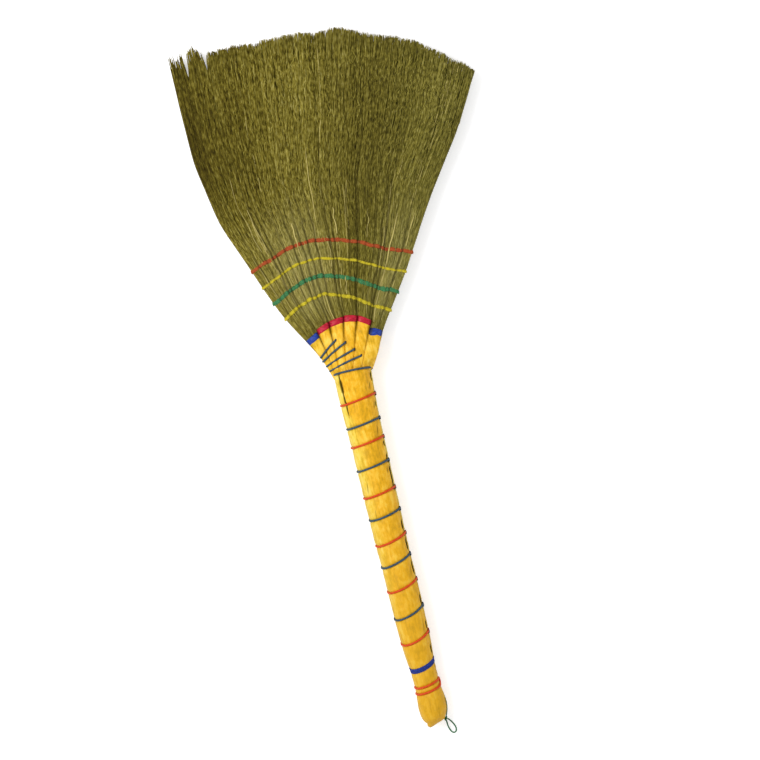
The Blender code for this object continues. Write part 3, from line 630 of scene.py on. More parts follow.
def strand_object(name, material, groups):
    """One piece from several groups of strands."""
    points, quads, triangles, start = [], [], [], 0
    attributes = {key: [] for key in groups[0] if key != "points"}
    for group in groups:
        count, samples = group["points"].shape[:2]
        strand = grid_faces(samples, 3, closed_columns=True)
        offsets = start + np.arange(count)[:, None, None] * samples * 3
        quads.append((strand[None] + offsets).reshape(-1, 4))
        last = (samples - 1) * 3
        for cap in ((last + 2, last + 1, last), (0, 1, 2)):
            triangles.append(np.array(cap)[None] + offsets[:, 0])
        points.append(group["points"].reshape(-1, 3))
        for key, values in attributes.items():
            values.append(np.repeat(group[key], 3, axis=-1).ravel())
        start += count * samples * 3
    return new_mesh(
        name, material, np.concatenate(points), np.concatenate(quads), np.concatenate(triangles),
        {key: np.concatenate(values) for key, values in attributes.items()},
    )


def spaced(rng, count, low, high):
    """Shares spread over a bundle, each a little off its even place."""
    place = (np.arange(count) + 0.5 + rng.uniform(-0.45, 0.45, count)) / count
    return low + (high - low) * place


def face_strands(rng, low, high, root):
    """A layer of fine strands on each face."""
    shares = np.tile(spaced(rng, SURFACE.count, low, high), 2)
    levels = np.repeat((1.0, -1.0), SURFACE.count)
    return strands(rng, SURFACE, shares, levels, np.full(len(shares), root))


def under_strands(rng, low, high, root):
    """Two layers of strands below each face."""
    levels = np.repeat((0.93, -0.93, 0.82, -0.82), UNDER.count)
    levels = levels + rng.uniform(-0.04, 0.04, len(levels))
    shares = np.tile(spaced(rng, UNDER.count, low, high), 4)
    return strands(rng, UNDER, shares, levels, np.full(len(shares), root))


def inner_strands(rng, low, high):
    """Strands between the faces, where the fan is loose."""
    start = rng.uniform(SEWN_END, 600.0, INNER.count)
    levels = rng.uniform(-0.75, 0.75, INNER.count)
    return strands(rng, INNER, spaced(rng, INNER.count, low, high), levels, start)


def curls(rng, low, high):
    """Short crimped ends on both faces, more of them towards the tips."""
    shares = rng.uniform(low, high, CURL.count)
    start = CURL_ROWS[0] + (CURL_ROWS[1] - CURL_ROWS[0]) * rng.uniform(0, 1, CURL.count) ** 0.7
    ends = np.minimum(start + rng.uniform(8.0, 34.0, CURL.count), tip_at(shares) - 1.0)
    levels = rng.choice((-1.0, 1.0), CURL.count) * rng.uniform(0.99, 1.04, CURL.count)
    return strands(rng, CURL, shares, levels, start, ends)


def straws(rng, low, high):
    """Pale straws along both faces."""
    shares = rng.uniform(low, high, STRAW.count)
    start = rng.uniform(*STRAW_ROWS, STRAW.count)
    ends = start + rng.uniform(25.0, 110.0, STRAW.count)
    levels = rng.choice((-1.0, 1.0), STRAW.count) * rng.uniform(1.0, 1.05, STRAW.count)
    return strands(rng, STRAW, shares, levels, start, ends)


def side_strands(rng, left, root):
    """Strands down the fan's left or right edge."""
    edge = rng.uniform(0, 0.012, SIDE.count)
    levels = np.linspace(-0.95, 0.95, SIDE.count)
    return strands(rng, SIDE, edge if left else 1 - edge, levels, np.full(SIDE.count, root))


def build_fibres(material):
    """The loose part of each bundle, all its kinds of strands in one piece."""
    rng = np.random.default_rng(21)
    for bundle, (low, high) in enumerate(zip(BUNDLE_EDGES, BUNDLE_EDGES[1:])):
        root = MOUTH_AT - (LAST_ROOT_BELOW if bundle == BUNDLES - 1 else ROOT_BELOW)
        groups = [
            face_strands(rng, low, high, root), under_strands(rng, low, high, root),
            inner_strands(rng, low, high), curls(rng, low, high), straws(rng, low, high),
        ]
        over = np.array([straw for straw in STRAWS_OVER if low < straw[0] < high])
        if len(over):
            groups.append(strands(rng, OVER, over[:, 0], np.full(len(over), 1.1), over[:, 1], over[:, 2]))
        if bundle in (0, BUNDLES - 1):
            groups.append(side_strands(rng, bundle == 0, root))
        dress(strand_object(f"fibres_{bundle + 1}", material, groups), f"fibre_bundle_{bundle + 1}")


# Handle

SHEET_GRID = ((370, 250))
# The rows of the sheet crowd together in this share of its length at the butt
BUTT_SHARE, BUTT_CROWDING = 0.06, 1.6
# The open edges' rolled lip, the lapped edge's step and gap, and the least half width in front
LIP_DEPTH, LIP_WIDTH = 1.1, 0.9
LAP_STEP, LAP_REACH, LAP_GAP = 0.5, 14, 0.8
FRONT_HALF = 18.0
# The butt closes over this length, with gathers and a swaying hem
BUTT_REACH = 11.0
GATHERS, GATHERS_REACH = 0.2, 7.0
HEM_SWAY, HEM_REACH = 0.35, 5.0
# A fold's lean, sway, half width and depth
FOLD_LEAN, FOLD_SWAY, FOLD_WIDTH, FOLD_DEPTH = 0.12, 0.4, 0.6, 0.5


def slit_width(rng, y):
    """How wide the sheet stands open along the right, ragged and wider at its gaps."""
    gaps = sum(np.exp(-((y - at) / length) ** 2) for at, length in SLIT_GAPS)
    ragged = spread_lines(wander(rng, 90, 2, 3), len(y))[:, :1]
    slit = np.clip(SLIT_NARROW + SLIT_WIDE * gaps + 0.5 * ragged, 0.2, SLIT_WIDEST)
    return slit * np.clip((y - SLIT_START) / 20, 0, 1)


def front_angle(x, half):
    """The angle round the handle of a place on its front, given by its x."""
    return math.pi - np.arccos(np.clip(-x / np.maximum(half, FRONT_HALF), -1, 1))


def lapped_edge(angle, y, half):
    """How far the sheet steps down past its lapped edge in front, and where a gap shows under it."""
    beyond = (angle - front_angle(between(EDGE_LINE, y), half)) * half
    lapped = np.interp(y, (240.0, 300.0), (0.0, 1.0))
    step = LAP_STEP * lapped / (1 + np.exp(-beyond / 0.3)) * np.exp(-np.abs(beyond) / LAP_REACH)
    gap = between(EDGE_GAP, y)
    return step, np.exp(-(beyond / np.maximum(gap, 0.05)) ** 4) * (gap > 0.02)


def folded_depth(x, y, fold):
    """How deep a place lies in the short folds."""
    depths = 0
    for at, length, place, depth in FOLDS:
        aside = (x - place - FOLD_LEAN * (y - at) - FOLD_SWAY * fold) / FOLD_WIDTH
        depths = depths + depth * np.exp(-((y - at) / length) ** 4 - aside ** 2)
    return depths


def single_layer_and_highlight(angle, y, half, fold):
    """Where the sheet is pale, partly because it is one layer thick there and partly as painted highlight
    from the light on the left: 1 left of the pale line, 0 right of it.
    """
    pale_angle = front_angle(between(PALE_LINE, y) + 1.2 * fold, half)
    softness = np.interp(y, (355.0, 372.0), (2.6, 0.3))
    paleness = 1 / (1 + np.exp(-(angle - pale_angle) * half / softness))
    return paleness * np.interp(y, (20.0, 150.0, 300.0), (0.25, 0.65, 1.0))


def build_handle(film):
    """The wrinkled sheet round the stalks, open along the right, its butt folded shut."""
    rng = np.random.default_rng(8)
    rows, columns = SHEET_GRID
    share = np.linspace(0, 1, rows)[:, None]
    crowded_share = share ** BUTT_CROWDING * BUTT_SHARE ** (1 - BUTT_CROWDING)
    share = np.where(share < BUTT_SHARE, crowded_share, share)
    t = np.linspace(0, 1, columns)[None]
    bottom = between(BUTT_EDGE, np.cos(SLIT_ANGLE + t * 2 * math.pi))
    top = SHEET_TOP + 0.5 * wander(rng, 1, columns, 14)
    reach = share * (top - bottom)
    y = bottom + reach
    middle, height, half = handle_section(y)
    opened = slit_width(rng, y) / np.maximum(half, 1.0)
    angle = SLIT_ANGLE + opened / 2 + t * (2 * math.pi - opened)
    lip = np.minimum(t, 1 - t) * 2 * math.pi * half
    step, in_gap = lapped_edge(angle, y, half)
    radius = sheet_radius(rng, angle, y) - LIP_DEPTH * np.exp(-(lip / LIP_WIDTH) ** 2) * (opened > 0.01)
    radius = radius - step - LAP_GAP * in_gap
    fold = wander(rng, 1, rows, 40)[0][:, None]
    closing = np.sqrt(1 - np.clip(1 - reach / BUTT_REACH, 0, 1) ** 2)
    gathers = wander(rng, 1, columns, 26) * np.exp(-reach / GATHERS_REACH)
    radius = radius + GATHERS * gathers
    x = middle + radius * np.cos(angle)
    folded = folded_depth(x, y, fold) * (np.sin(angle) > 0)
    z = height + (radius - FOLD_DEPTH * folded) * np.sin(angle) * closing
    along = y + HEM_SWAY * wander(rng, 1, columns, 40) * np.exp(-reach / HEM_REACH)
    piece = new_mesh(
        "handle_sheet", film, np.stack(np.broadcast_arrays(x, along, np.maximum(z, 0.06)), -1),
        grid_faces(rows, columns),
        attributes={
            # gap: painted shade in the gap under the lapped edge and in the short folds
            "paleness": single_layer_and_highlight(angle, y, half, fold), "gap": np.maximum(in_gap, folded),
            # side: painted shade down both sides of the handle, where the sheet turns away from the light
            # above
            "side": np.clip(1 - np.abs(np.sin(angle)) / 0.42, 0, 1) * np.interp(y, (30.0, 60.0), (0.3, 1.0)),
        },
    )
    dress(piece, "handle_sleeve")


STALKS, STALK_RADIUS = 48, 1.9
# The stalks' first and last rows, and the rows between which they part to the bundles
STALK_ROWS, PARTING_ROWS = (7, 447), (392, 436)


def build_stalks(material):
    """The bare stalks: packed in the handle, then parting to the six bundles."""
    rng = np.random.default_rng(17)
    number = np.arange(STALKS)
    radius = np.sqrt((number + 0.5) / STALKS)
    turn = number * math.pi * (3 - math.sqrt(5))
    packed = np.stack((radius * np.cos(turn), radius * np.sin(turn)), -1)
    packed = packed[np.argsort(packed[:, 0])]
    each = STALKS // BUNDLES
    at = np.concatenate((np.linspace(STALK_ROWS[0], 400, 30), np.linspace(406, STALK_ROWS[1], 12)))
    middle, height, half = handle_section(at)
    parted = np.interp(at, PARTING_ROWS, (0, 1))
    parted = (parted * parted * (3 - 2 * parted))[:, None]
    for bundle in range(BUNDLES):
        parts = []
        for k, (side, up) in enumerate(packed[bundle * each:(bundle + 1) * each]):
            size = STALK_RADIUS * rng.uniform(0.8, 1.15)
            room = np.interp(at, (7, 30, 396, 404), (0.5, 1, 1, 0.9)) * (half - 1.15 - size)
            bend = 0.35 * wander(rng, 2, len(at), 8)
            straight = np.stack((middle + room * side + bend[0], at, height + room * up + bend[1]), -1)
            share = np.full(len(at), (bundle + 0.5 + 0.22 * (k % 3 - 1)) / BUNDLES)
            x, y = head_point(share, at)
            spread = neck_half(share, at) - 4.4
            in_head = np.stack((x, y, head_height(at) + spread * up), -1)
            path = straight + (in_head - straight) * parted
            path[:, 2] = np.maximum(path[:, 2], size + 1.0)
            parts.append(tube(path, size * np.interp(at, (400, STALK_ROWS[1]), (1, 0.6)), 7))
        dress(joined(f"stalks_{bundle + 1}", material, parts), f"stalk_bundle_{bundle + 1}")


TIE_STEPS = 72
PIGTAIL_RADIUS, PIGTAIL_TURNS, PIGTAIL_POINTS = 0.62, 1.4, 22
# A wire's own mark, and its two twisted ends'
WIRE_MARKS = (0, 1, 1)


def tie_path(ends, radius=TIE_RADIUS, start=0.0, shift=0.0):
    """A turn of wire pressed into the handle's sheet."""
    angle = start + np.linspace(0, 2 * math.pi, TIE_STEPS + 1)
    y = tie_height(ends, angle) + shift
    middle, height, half = handle_section(y)
    reach = half - TIE_SUNK + radius * 0.9
    return np.stack((middle + reach * np.cos(angle), y, height + reach * np.sin(angle)), -1)


def pigtail(start, outward, forward, radius, length):
    """The two ends of a wire, twisted round each other and cut off."""
    start, outward, forward = (np.asarray(v, float) for v in (start, outward, forward))
    outward = outward / np.linalg.norm(outward)
    forward = forward - outward * forward.dot(outward)
    forward = forward / np.linalg.norm(forward)
    side = np.cross(outward, forward)
    t = np.linspace(0, 1, PIGTAIL_POINTS)[:, None]
    axis = start - forward * length * 0.6 + outward * 0.5 * np.sin(math.pi * t) + forward * length * t
    parts = []
    for phase, cut_off in ((0, 0), (math.pi, 3)):
        angle = phase + 2 * math.pi * PIGTAIL_TURNS * t
        path = axis + radius * 0.95 * (side * np.cos(angle) + outward * np.sin(angle))
        parts.append(tube(path[:PIGTAIL_POINTS - cut_off], radius, 8, outward))
    return parts


def build_ties(colour, material, ties, rng):
    """The handle's wires of one colour, each closed by a twist of its ends on the right."""
    for number, ends in zip(range(len(ties), 0, -1), ties):
        start = math.radians(rng.uniform(2, 12))
        path = tie_path(ends, start=start)
        outward = (math.cos(start), 0, math.sin(start))
        forward = (0, 1, rng.uniform(-0.15, 0.15))
        parts = [tube(path, TIE_RADIUS, up=ALONG)]
        parts += pigtail(path[0], outward, forward, PIGTAIL_RADIUS, rng.uniform(4.2, 5.6))
        piece = joined(f"tie_{colour}_{number}", material, parts, WIRE_MARKS)
        dress(piece, f"handle_wire_{colour}_{number}")


BLUE_TURNS, BLUE_SPREAD, BLUE_RADIUS, BLUE_LAY = 5, 5.6, 0.78, 5.0


def build_blue_band(material):
    """Turns of laid cord side by side near the butt, each with its own sway and tone."""
    rng = np.random.default_rng(6)
    parts, marks = [], []
    for layer in range(BLUE_TURNS):
        shift = ((layer + 0.5) / BLUE_TURNS - 0.5) * BLUE_SPREAD
        path = tie_path(BLUE_BAND, radius=0.72, start=0.4 * layer, shift=shift)
        path[:, 1] += 0.25 * wander(rng, 1, len(path), 9)[0] * np.sin(np.linspace(0, math.pi, len(path)))
        radius = BLUE_RADIUS * rng.uniform(0.9, 1.15)
        parts.append(tube(path[:-1], radius, 12, ALONG, closed=True, plies=2, lay=BLUE_LAY))
        marks.append(rng.uniform(0, 0.5))
    dress(joined("band_blue", material, parts, marks), "end_winding_blue")


def build_red_bands(material):
    """Two turns of wire near the butt, and the stretch that runs from one to the other."""
    parts = [
        tube(tie_path(ends, start=math.radians(-10))[:-1], TIE_RADIUS, up=ALONG, closed=True)
        for ends in RED_BANDS
    ]
    upper, lower = (tie_path(ends, start=math.radians(-14))[:9] for ends in RED_BANDS)
    t = np.linspace(0, 1, len(upper))[:, None]
    link = upper * (1 - t) + lower * t
    outward = link - np.array((1.0, 0, 17.6))
    outward[:, 1] = 0
    link = link + outward / np.linalg.norm(outward, axis=1, keepdims=True) * 0.6
    parts.append(tube(link, TIE_RADIUS, up=ALONG))
    dress(joined("band_red", material, parts), "end_winding_red")


# Neck of the head

# Each ring's lower and upper row, and how much its right end lags behind
RING_ROWS = (
    (450.4, 456.0, 0.0), (452.6, 458.2, 0.0), (452.8, 458.4, 0.0), (453.2, 459.0, -0.5),
    (453.4, 458.6, -1.5), (442.4, 449.8, 6.0),
)
SLEEVE_START, SLEEVE_ROWS = 403.0, 90
# By row: how far a sleeve lies inside its bundle's outline, how round its top is, and how much narrower
SLEEVE_INSET = ((403, 2.6), (414, 1.6), (420, 0.0))
SLEEVE_ROUNDING = ((403, 1.2), (425, 1.5), (440, 2.6), (450, 4.0), (458, 5.0))
SLEEVE_NARROWING = ((403, 0.0), (435, 0.0), (450, -0.1), (458, -0.15))
DENT_DEPTH, DENT_WIDTH = 0.5, 1.5
# How pale each sleeve is, and the points across a bundle's face and down its side
SLEEVE_PALENESS = (0.42, 0.22, 0.12, 0.05, 0.1, 0.28)
FACE_POINTS, WALL_POINTS = 31, 7
# A ring's section: share of its way up, and how far it lies inside the bundle's outline
RING_SHARES = (0.0, 0.0, 0.05, 0.25, 0.6, 0.92, 1.0, 1.0)
RING_INSETS = (1.3, 0.2, -0.1, -0.35, -0.3, -0.05, 0.4, 1.6)
RING_ROUNDING = 4.6
# How far the neck wires stand off the bundles, their bow, and their bulge at the right and left end
WIRE_CLEAR, WIRE_BOW, WIRE_BULGES = 0.45, 0.8, (0.2, 0.9)


def neck_half(share, at):
    """Half the head's thickness over the sheeted bundles."""
    thickness = head_row(at)[5]
    reach = 2 * crowded(share, at) - 1
    edge = np.interp(at, (NECK_AT, 433.0, MOUTH_AT, STITCH_AT[0]), (0.97, 0.66, 0.42, 0.3))
    return thickness / 2 * np.sqrt(np.clip(1 - edge * reach ** 2, 0.03, 1))


def cell_columns():
    """Places round a bundle: from -1 to 1 across it, and from 1 to -1 down its sides."""
    turn = np.sin(np.linspace(-math.pi / 2, math.pi / 2, FACE_POINTS))
    wall = np.linspace(1, -1, WALL_POINTS + 2)[1:-1]
    face, flank = np.ones(FACE_POINTS), np.ones(WALL_POINTS)
    across = np.concatenate((turn, flank, turn[::-1], -flank))
    side = np.concatenate((face, wall, -face, wall[::-1]))
    return across[::-1][None], side[::-1][None]


def cell_skin(bundle, at, inset, rounding, narrowed, lag):
    """Rings of points round one bundle of the head, at rows of places along it."""
    across, side = cell_columns()
    low, high = BUNDLE_EDGES[bundle:bundle + 2]
    place = at + lag * (across + 1) / 2
    share = low + (high - low) * (across + 1) / 2
    x, y = head_point(share, place)
    drop = rounding * (1 - np.sqrt(np.clip(1 - across ** 2, 0, 1)))
    half = np.maximum(neck_half(share, place) - inset - drop, 1.0)
    return np.stack(np.broadcast_arrays(x - across * narrowed, y, head_height(place) + half * side), -1)


def dented(points, bundle, at):
    """A sleeve's points, pressed in along the wires that hold its bundle."""
    for left, right, count in NECK_WIRES[:-1]:
        if bundle < count:
            slope = (right[1] - left[1]) / (right[0] - left[0])
            away = points[..., 1] - left[1] - (points[..., 0] - left[0]) * slope - 0.5
            dent = DENT_DEPTH * np.exp(-(away / DENT_WIDTH) ** 2)
            points[..., 2] -= np.sign(points[..., 2] - head_height(at)) * dent
    return points


def build_sleeve(rng, bundle, film):
    """The wrinkled sheet round one bundle."""
    bottom, top, lag = RING_ROWS[bundle]
    across, _ = cell_columns()
    columns = across.size
    at = np.linspace(SLEEVE_START, (bottom + top) / 2, SLEEVE_ROWS)[:, None]
    wrinkle = spread_lines(wander(rng, 5, columns, 14), SLEEVE_ROWS)
    fine = spread_lines(wander(rng, SLEEVE_ROWS // 3 + 2, columns, 22), SLEEVE_ROWS, smooth=True)
    inset = 0.3 + 0.28 * wrinkle + FINE_WRINKLE * fine + between(SLEEVE_INSET, at)
    points = cell_skin(bundle, at, inset, between(SLEEVE_ROUNDING, at), between(SLEEVE_NARROWING, at), lag)
    points = dented(points, bundle, at)
    # Painted shade in the valleys between the sleeves and along their seams, near the rings
    valley_shade = np.interp(np.abs(across), (0.66, 0.97), (0.0, 1.0)) * np.interp(at, (428, 452), (0.0, 0.85))
    seam_shade = np.interp(np.abs(across), (0.88, 0.99), (0.0, 1.0)) * np.interp(at, (418, 448), (0.0, 0.6))
    piece = new_mesh(
        f"sheet_{bundle + 1}", film, points, grid_faces(SLEEVE_ROWS, columns, closed_columns=True),
        attributes={
            "paleness": np.full(points.shape[:2], SLEEVE_PALENESS[bundle]),
            "gap": np.maximum(valley_shade, seam_shade), "side": np.zeros(points.shape[:2]),
        },
    )
    dress(piece, f"bundle_sleeve_{bundle + 1}")


def build_ring(rng, bundle, tape):
    """The tape round one bundle's mouth."""
    bottom, top, lag = RING_ROWS[bundle]
    across, _ = cell_columns()
    shares, inset = (np.array(values)[:, None] for values in (RING_SHARES, RING_INSETS))
    inset = inset + 0.1 * wander(rng, len(shares), across.size, 26)
    at = bottom + (top - bottom) * shares
    points = cell_skin(bundle, at, inset, RING_ROUNDING, np.maximum(inset, 0) - 0.15, lag)
    shadow = np.interp(np.abs(across), (0.7, 1.0), (0.0, 0.9))
    if bundle == BUNDLES - 1:
        shadow = np.maximum(shadow, np.interp(across, (-0.6, -0.35), (0.9, 0.0)))
    piece = new_mesh(
        f"tape_{bundle + 1}", tape, points, grid_faces(len(shares), across.size, closed_columns=True),
        attributes={"gap": np.broadcast_to(shadow, points.shape[:2])},
    )
    dress(piece, f"bundle_ring_{bundle + 1}")


def build_neck(film, red, blue):
    """Each bundle's sheet and the tape round its mouth, blue on the outer two."""
    rng = np.random.default_rng(14)
    for bundle in range(BUNDLES):
        build_sleeve(rng, bundle, film)
        build_ring(rng, bundle, blue if bundle in (0, BUNDLES - 1) else red)


def neck_row(share, y):
    """The row of the head that passes through a height at a share of the way across."""
    places = np.linspace(400.0, 500.0, 101)
    shares = np.broadcast_to(share[:, None], (len(share), len(places)))
    heights = head_point(shares, places[None])[1]
    return np.array([np.interp(value, line, places) for value, line in zip(y, heights)])


def build_neck_wires(dark):
    """The stair of wires, each round one bundle more than the one above it."""
    share = np.linspace(0.0, 1.0, 40)
    for number, (left, right, count) in enumerate(NECK_WIRES[:-1], 1):
        line = np.array(left) + (np.array(right) - left) * share[:, None]
        line[:, 1] += 4 * share * (1 - share) * WIRE_BOW
        in_bundles = share * count / BUNDLES
        at = neck_row(in_bundles, line[:, 1])
        half = neck_half(in_bundles, at) + WIRE_CLEAR
        path = round_the_head(line, head_height(at), half, WIRE_BULGES, 12)
        parts = [tube(path, TIE_RADIUS, up=ALONG, closed=True)]
        parts += pigtail(path[len(share) - 1] + (0.3, 0.6, -0.3), (0.1, 0, 1), (0.2, 1, 0), 0.55, 2.6)
        dress(joined(f"neck_tie_{number}", dark, parts, WIRE_MARKS), f"neck_wire_{number}")
    number = len(NECK_WIRES)
    path = tie_path(LAST_NECK_TIE, start=math.radians(8))
    parts = [tube(path, TIE_RADIUS, up=ALONG)]
    parts += pigtail(path[0], (1, 0, 0.1), (0, 1, 0.2), PIGTAIL_RADIUS, 4.0)
    dress(joined(f"neck_tie_{number}", dark, parts, WIRE_MARKS), f"neck_wire_{number}")


# Sewn rows

STITCH_POINTS, STITCH_SIDES, STITCH_END_POINTS = 460, 14, 18
STITCH_PLIES, STITCH_LAY = 3, 7.0


def build_stitches(materials):
    """Threads over both faces of the fan that dip into the creases between the ribs."""
    rng = np.random.default_rng(9)
    count, thick = STITCH_POINTS, STITCH_THICKNESS
    share = np.linspace(0.0, 1.0, count)
    angle = np.arange(STITCH_SIDES)[None] * 2 * math.pi / STITCH_SIDES
    for number, (at, width, material) in enumerate(zip(STITCH_AT, STITCH_WIDTHS, materials), 1):
        rows = at + sway(share) + 0.6 * wander(rng, 1, count, 34)[0]
        in_crease = crease_depth(share, rows)
        half = face_height(share, rows, 1.0) + thick * 0.75 + 0.9 * in_crease
        uneven = 1 + 0.12 * wander(rng, 1, count, 60)[0]
        swell = width * (1 - 0.35 * np.clip(in_crease, 0, 1)) * uneven
        line = np.column_stack(head_point(share, rows))
        path = round_the_head(line, head_height(rows), half, (1.0, 1.0), STITCH_END_POINTS, 0.6)
        at_end = np.full(STITCH_END_POINTS, width)
        size = np.concatenate((swell, at_end, swell[::-1], at_end))[:, None]
        # Painted shade where the thread dips into a crease
        dark = np.concatenate((in_crease, 0 * at_end, in_crease[::-1], 0 * at_end))
        reach = np.cumsum(np.linalg.norm(np.diff(path, axis=0, append=path[:1]), axis=1))[:, None]
        lobes = np.abs(np.cos(STITCH_PLIES / 2 * (angle - 2 * math.pi * reach / STITCH_LAY)))
        plies = 1 - 0.16 * lobes
        points = sweep(path, thick * plies * np.cos(angle), size * plies * np.sin(angle), True, ALONG)
        quads = grid_faces(len(path), STITCH_SIDES, closed_rows=True, closed_columns=True)
        mark = np.repeat(np.clip(dark * 1.1, 0, 1), STITCH_SIDES)
        piece = new_mesh(f"thread_{number}", material, points, quads, attributes={"mark": mark})
        dress(piece, f"stitch_row_{number}")


# Hanging loop

LOOP_SIDES, KNOT_POINTS, KNOT_SIZE = 15, 90, 1.15
KNOT_RADIUS, KNOT_END_RADIUS, TAIL_RADIUS = 0.78, 0.72, 0.68


def build_loop(material):
    """The cord's loop, its knot, and the stretch that runs up beside the sheet."""
    route = curve_through(LOOP_ROUTE, 8)
    # Paler towards the loop's far end: partly the cord's paler plastic, partly painted highlight
    far = np.sin(math.pi * np.linspace(0, 1, len(route)))
    far = 0.5 * np.clip(far * 1.6 - 0.45, 0, 1)
    loop = new_mesh(
        "cord_loop", material, *green_tube(route, CORD_DIAMETER / 2, LOOP_SIDES),
        attributes={"mark": np.repeat(far, LOOP_SIDES)},
    )
    dress(loop, "hanging_loop", body="loop")

    centre = np.array(KNOT_PLACE)
    turn = np.linspace(0, 2 * math.pi, KNOT_POINTS, endpoint=False)
    knot = centre + np.column_stack((
        KNOT_SIZE * (np.sin(turn) + 1.1 * np.sin(2 * turn)),
        KNOT_SIZE * (np.cos(turn) - 1.1 * np.cos(2 * turn)), -np.sin(3 * turn),
    ))
    parts = [green_tube(knot, KNOT_RADIUS, closed=True)]
    for end in (LOOP_ROUTE[0], LOOP_ROUTE[-1]):
        way = curve_through((centre, (centre + end) / 2 + (0, 0, 0.3), end), 6)
        parts.append(green_tube(way, KNOT_END_RADIUS))
    knot_piece = joined("cord_knot", material, parts)
    dress(knot_piece, "loop_knot")

    tail_piece = joined("cord_tail", material, [green_tube(curve_through(TAIL_ROUTE, 8), TAIL_RADIUS)])
    dress(tail_piece)


# Materials


class Nodes:
    """A material's nodes, added in a line of calls."""

    def __init__(self, name):
        """A new material with its shader."""
        self.material = bpy.data.materials.new(name)
        self.material.use_nodes = True
        self.tree = self.material.node_tree
        self.shader = self.tree.nodes["Principled BSDF"]

    def add(self, kind, inputs=None, **settings):
        """A node with its settings and inputs."""
        node = self.tree.nodes.new(kind)
        for key, value in settings.items():
            setattr(node, key, value)
        for key, value in (inputs or {}).items():
            self.feed(node.inputs[key], value)
        return node

    def feed(self, socket, value):
        """A value or another node's output put into a socket."""
        if isinstance(value, bpy.types.NodeSocket):
            self.tree.links.new(value, socket)
        else:
            socket.default_value = value

    def attribute(self, name):
        """A piece's own value at each point."""
        return self.add("ShaderNodeAttribute", attribute_name=name).outputs["Fac"]

    def math(self, operation, *values, clamp=False):
        """One step of arithmetic on values or outputs."""
        node = self.add("ShaderNodeMath", operation=operation, use_clamp=clamp)
        for socket, value in zip(node.inputs, values):
            self.feed(socket, value)
        return node.outputs[0]

    def times(self, first, second, clamp=False):
        """The product of two values."""
        return self.math("MULTIPLY", first, second, clamp=clamp)

    def total(self, *terms):
        """The sum of values, each times its weight."""
        value = self.times(*terms[0])
        for term in terms[1:]:
            value = self.math("ADD", value, self.times(*term))
        return value

    def noise(self, vector, detail=3.0, roughness=0.5):
        """Noise over a vector."""
        inputs = {"Vector": vector, "Scale": 1.0, "Detail": detail, "Roughness": roughness}
        return self.add("ShaderNodeTexNoise", inputs).outputs["Fac"]

    def grain(self, scale, detail=3.0, roughness=0.5):
        """Noise over the piece, as fine along each axis as a scale says."""
        place = self.add("ShaderNodeTexCoord").outputs["Object"]
        stretched = self.add("ShaderNodeMapping", {"Vector": place, "Scale": scale}).outputs[0]
        return self.noise(stretched, detail, roughness)

    def streaks(self, first, first_scale, second, second_scale):
        """Noise over two values, as fine along each as its scale says."""
        inputs = {"X": self.times(first, first_scale), "Y": self.times(second, second_scale)}
        return self.noise(self.add("ShaderNodeCombineXYZ", inputs).outputs[0], 2.0)

    def ramp(self, value, *stops):
        """A colour from stops of a place and a colour."""
        node = self.add("ShaderNodeValToRGB", {"Fac": value})
        elements = node.color_ramp.elements
        while len(elements) < len(stops):
            elements.new(0.5)
        for element, (position, colour) in zip(elements, stops):
            element.position = position
            element.color = colour
        return node.outputs["Color"]

    def mix(self, factor, first, second):
        """One colour laid over another."""
        node = self.add("ShaderNodeMix", data_type="RGBA")
        for socket, value in zip((node.inputs[0], node.inputs[6], node.inputs[7]), (factor, first, second)):
            self.feed(socket, value)
        return node.outputs[2]

    def finish(self, colour, roughness, height, strength, distance, specular):
        """The material, with its shader's colour, roughness, bumps and shine."""
        bumps = {"Height": height, "Strength": strength, "Distance": distance}
        normal = self.add("ShaderNodeBump", bumps).outputs[0]
        names = ("Base Color", "Roughness", "Normal", "Specular IOR Level")
        for key, value in zip(names, (colour, roughness, normal, specular)):
            self.feed(self.shader.inputs[key], value)
        return self.material


def linear(red, green, blue):
    """A colour given as 0 to 255 in sRGB, as the shader wants it."""
    channels = (red / 255, green / 255, blue / 255)
    return (*(c / 12.92 if c <= 0.04045 else ((c + 0.055) / 1.055) ** 2.4 for c in channels), 1)


def darker(colour, share):
    """A colour made darker."""
    return (*(c * share for c in colour[:3]), 1)


def fibre_material():
    """Dry olive grass: each strand has its tone, with darker nodes along it and painted shade in the
    creases.
    """
    m = Nodes("dry_grass")
    tone, along, row, across = (m.attribute(key) for key in ("tone", "along", "row", "across"))
    crease, sewn, shade = (m.attribute(key) for key in ("crease", "sewn", "shade"))
    speckle = m.streaks(row, 0.17, across, 130.0)
    patch = m.streaks(across, 26.0, along, 0.004)
    value = m.total((tone, 0.11), (speckle, 1.15), (patch, 0.4), (sewn, 0.1), (shade, -0.26))
    value = m.math("SUBTRACT", value, 0.265, clamp=True)
    colour = m.ramp(
        value,
        (0.12, linear(54, 44, 6)), (0.38, linear(114, 102, 27)), (0.58, linear(154, 141, 57)),
        (0.92, linear(194, 182, 104)),
    )
    greener = m.times(m.math("POWER", across, 2.0, clamp=True), 0.3)
    colour = m.mix(greener, colour, linear(104, 110, 58))
    colour = m.mix(m.times(sewn, 0.13, clamp=True), colour, linear(206, 200, 140))
    colour = m.mix(m.times(shade, 0.6, clamp=True), colour, linear(78, 66, 16))
    straw = m.times(m.math("GREATER_THAN", tone, FIRST_STRAW), 0.7)
    colour = m.mix(straw, colour, linear(206, 190, 116))
    # Painted shade: strands that lie deep in a crease are darkened towards a dark brown
    dark = m.times(crease, m.times(speckle, 1.3), clamp=True)
    colour = m.mix(dark, colour, linear(44, 36, 6))
    return m.finish(colour, 0.75, speckle, 0.3, 0.0006, specular=0.12)


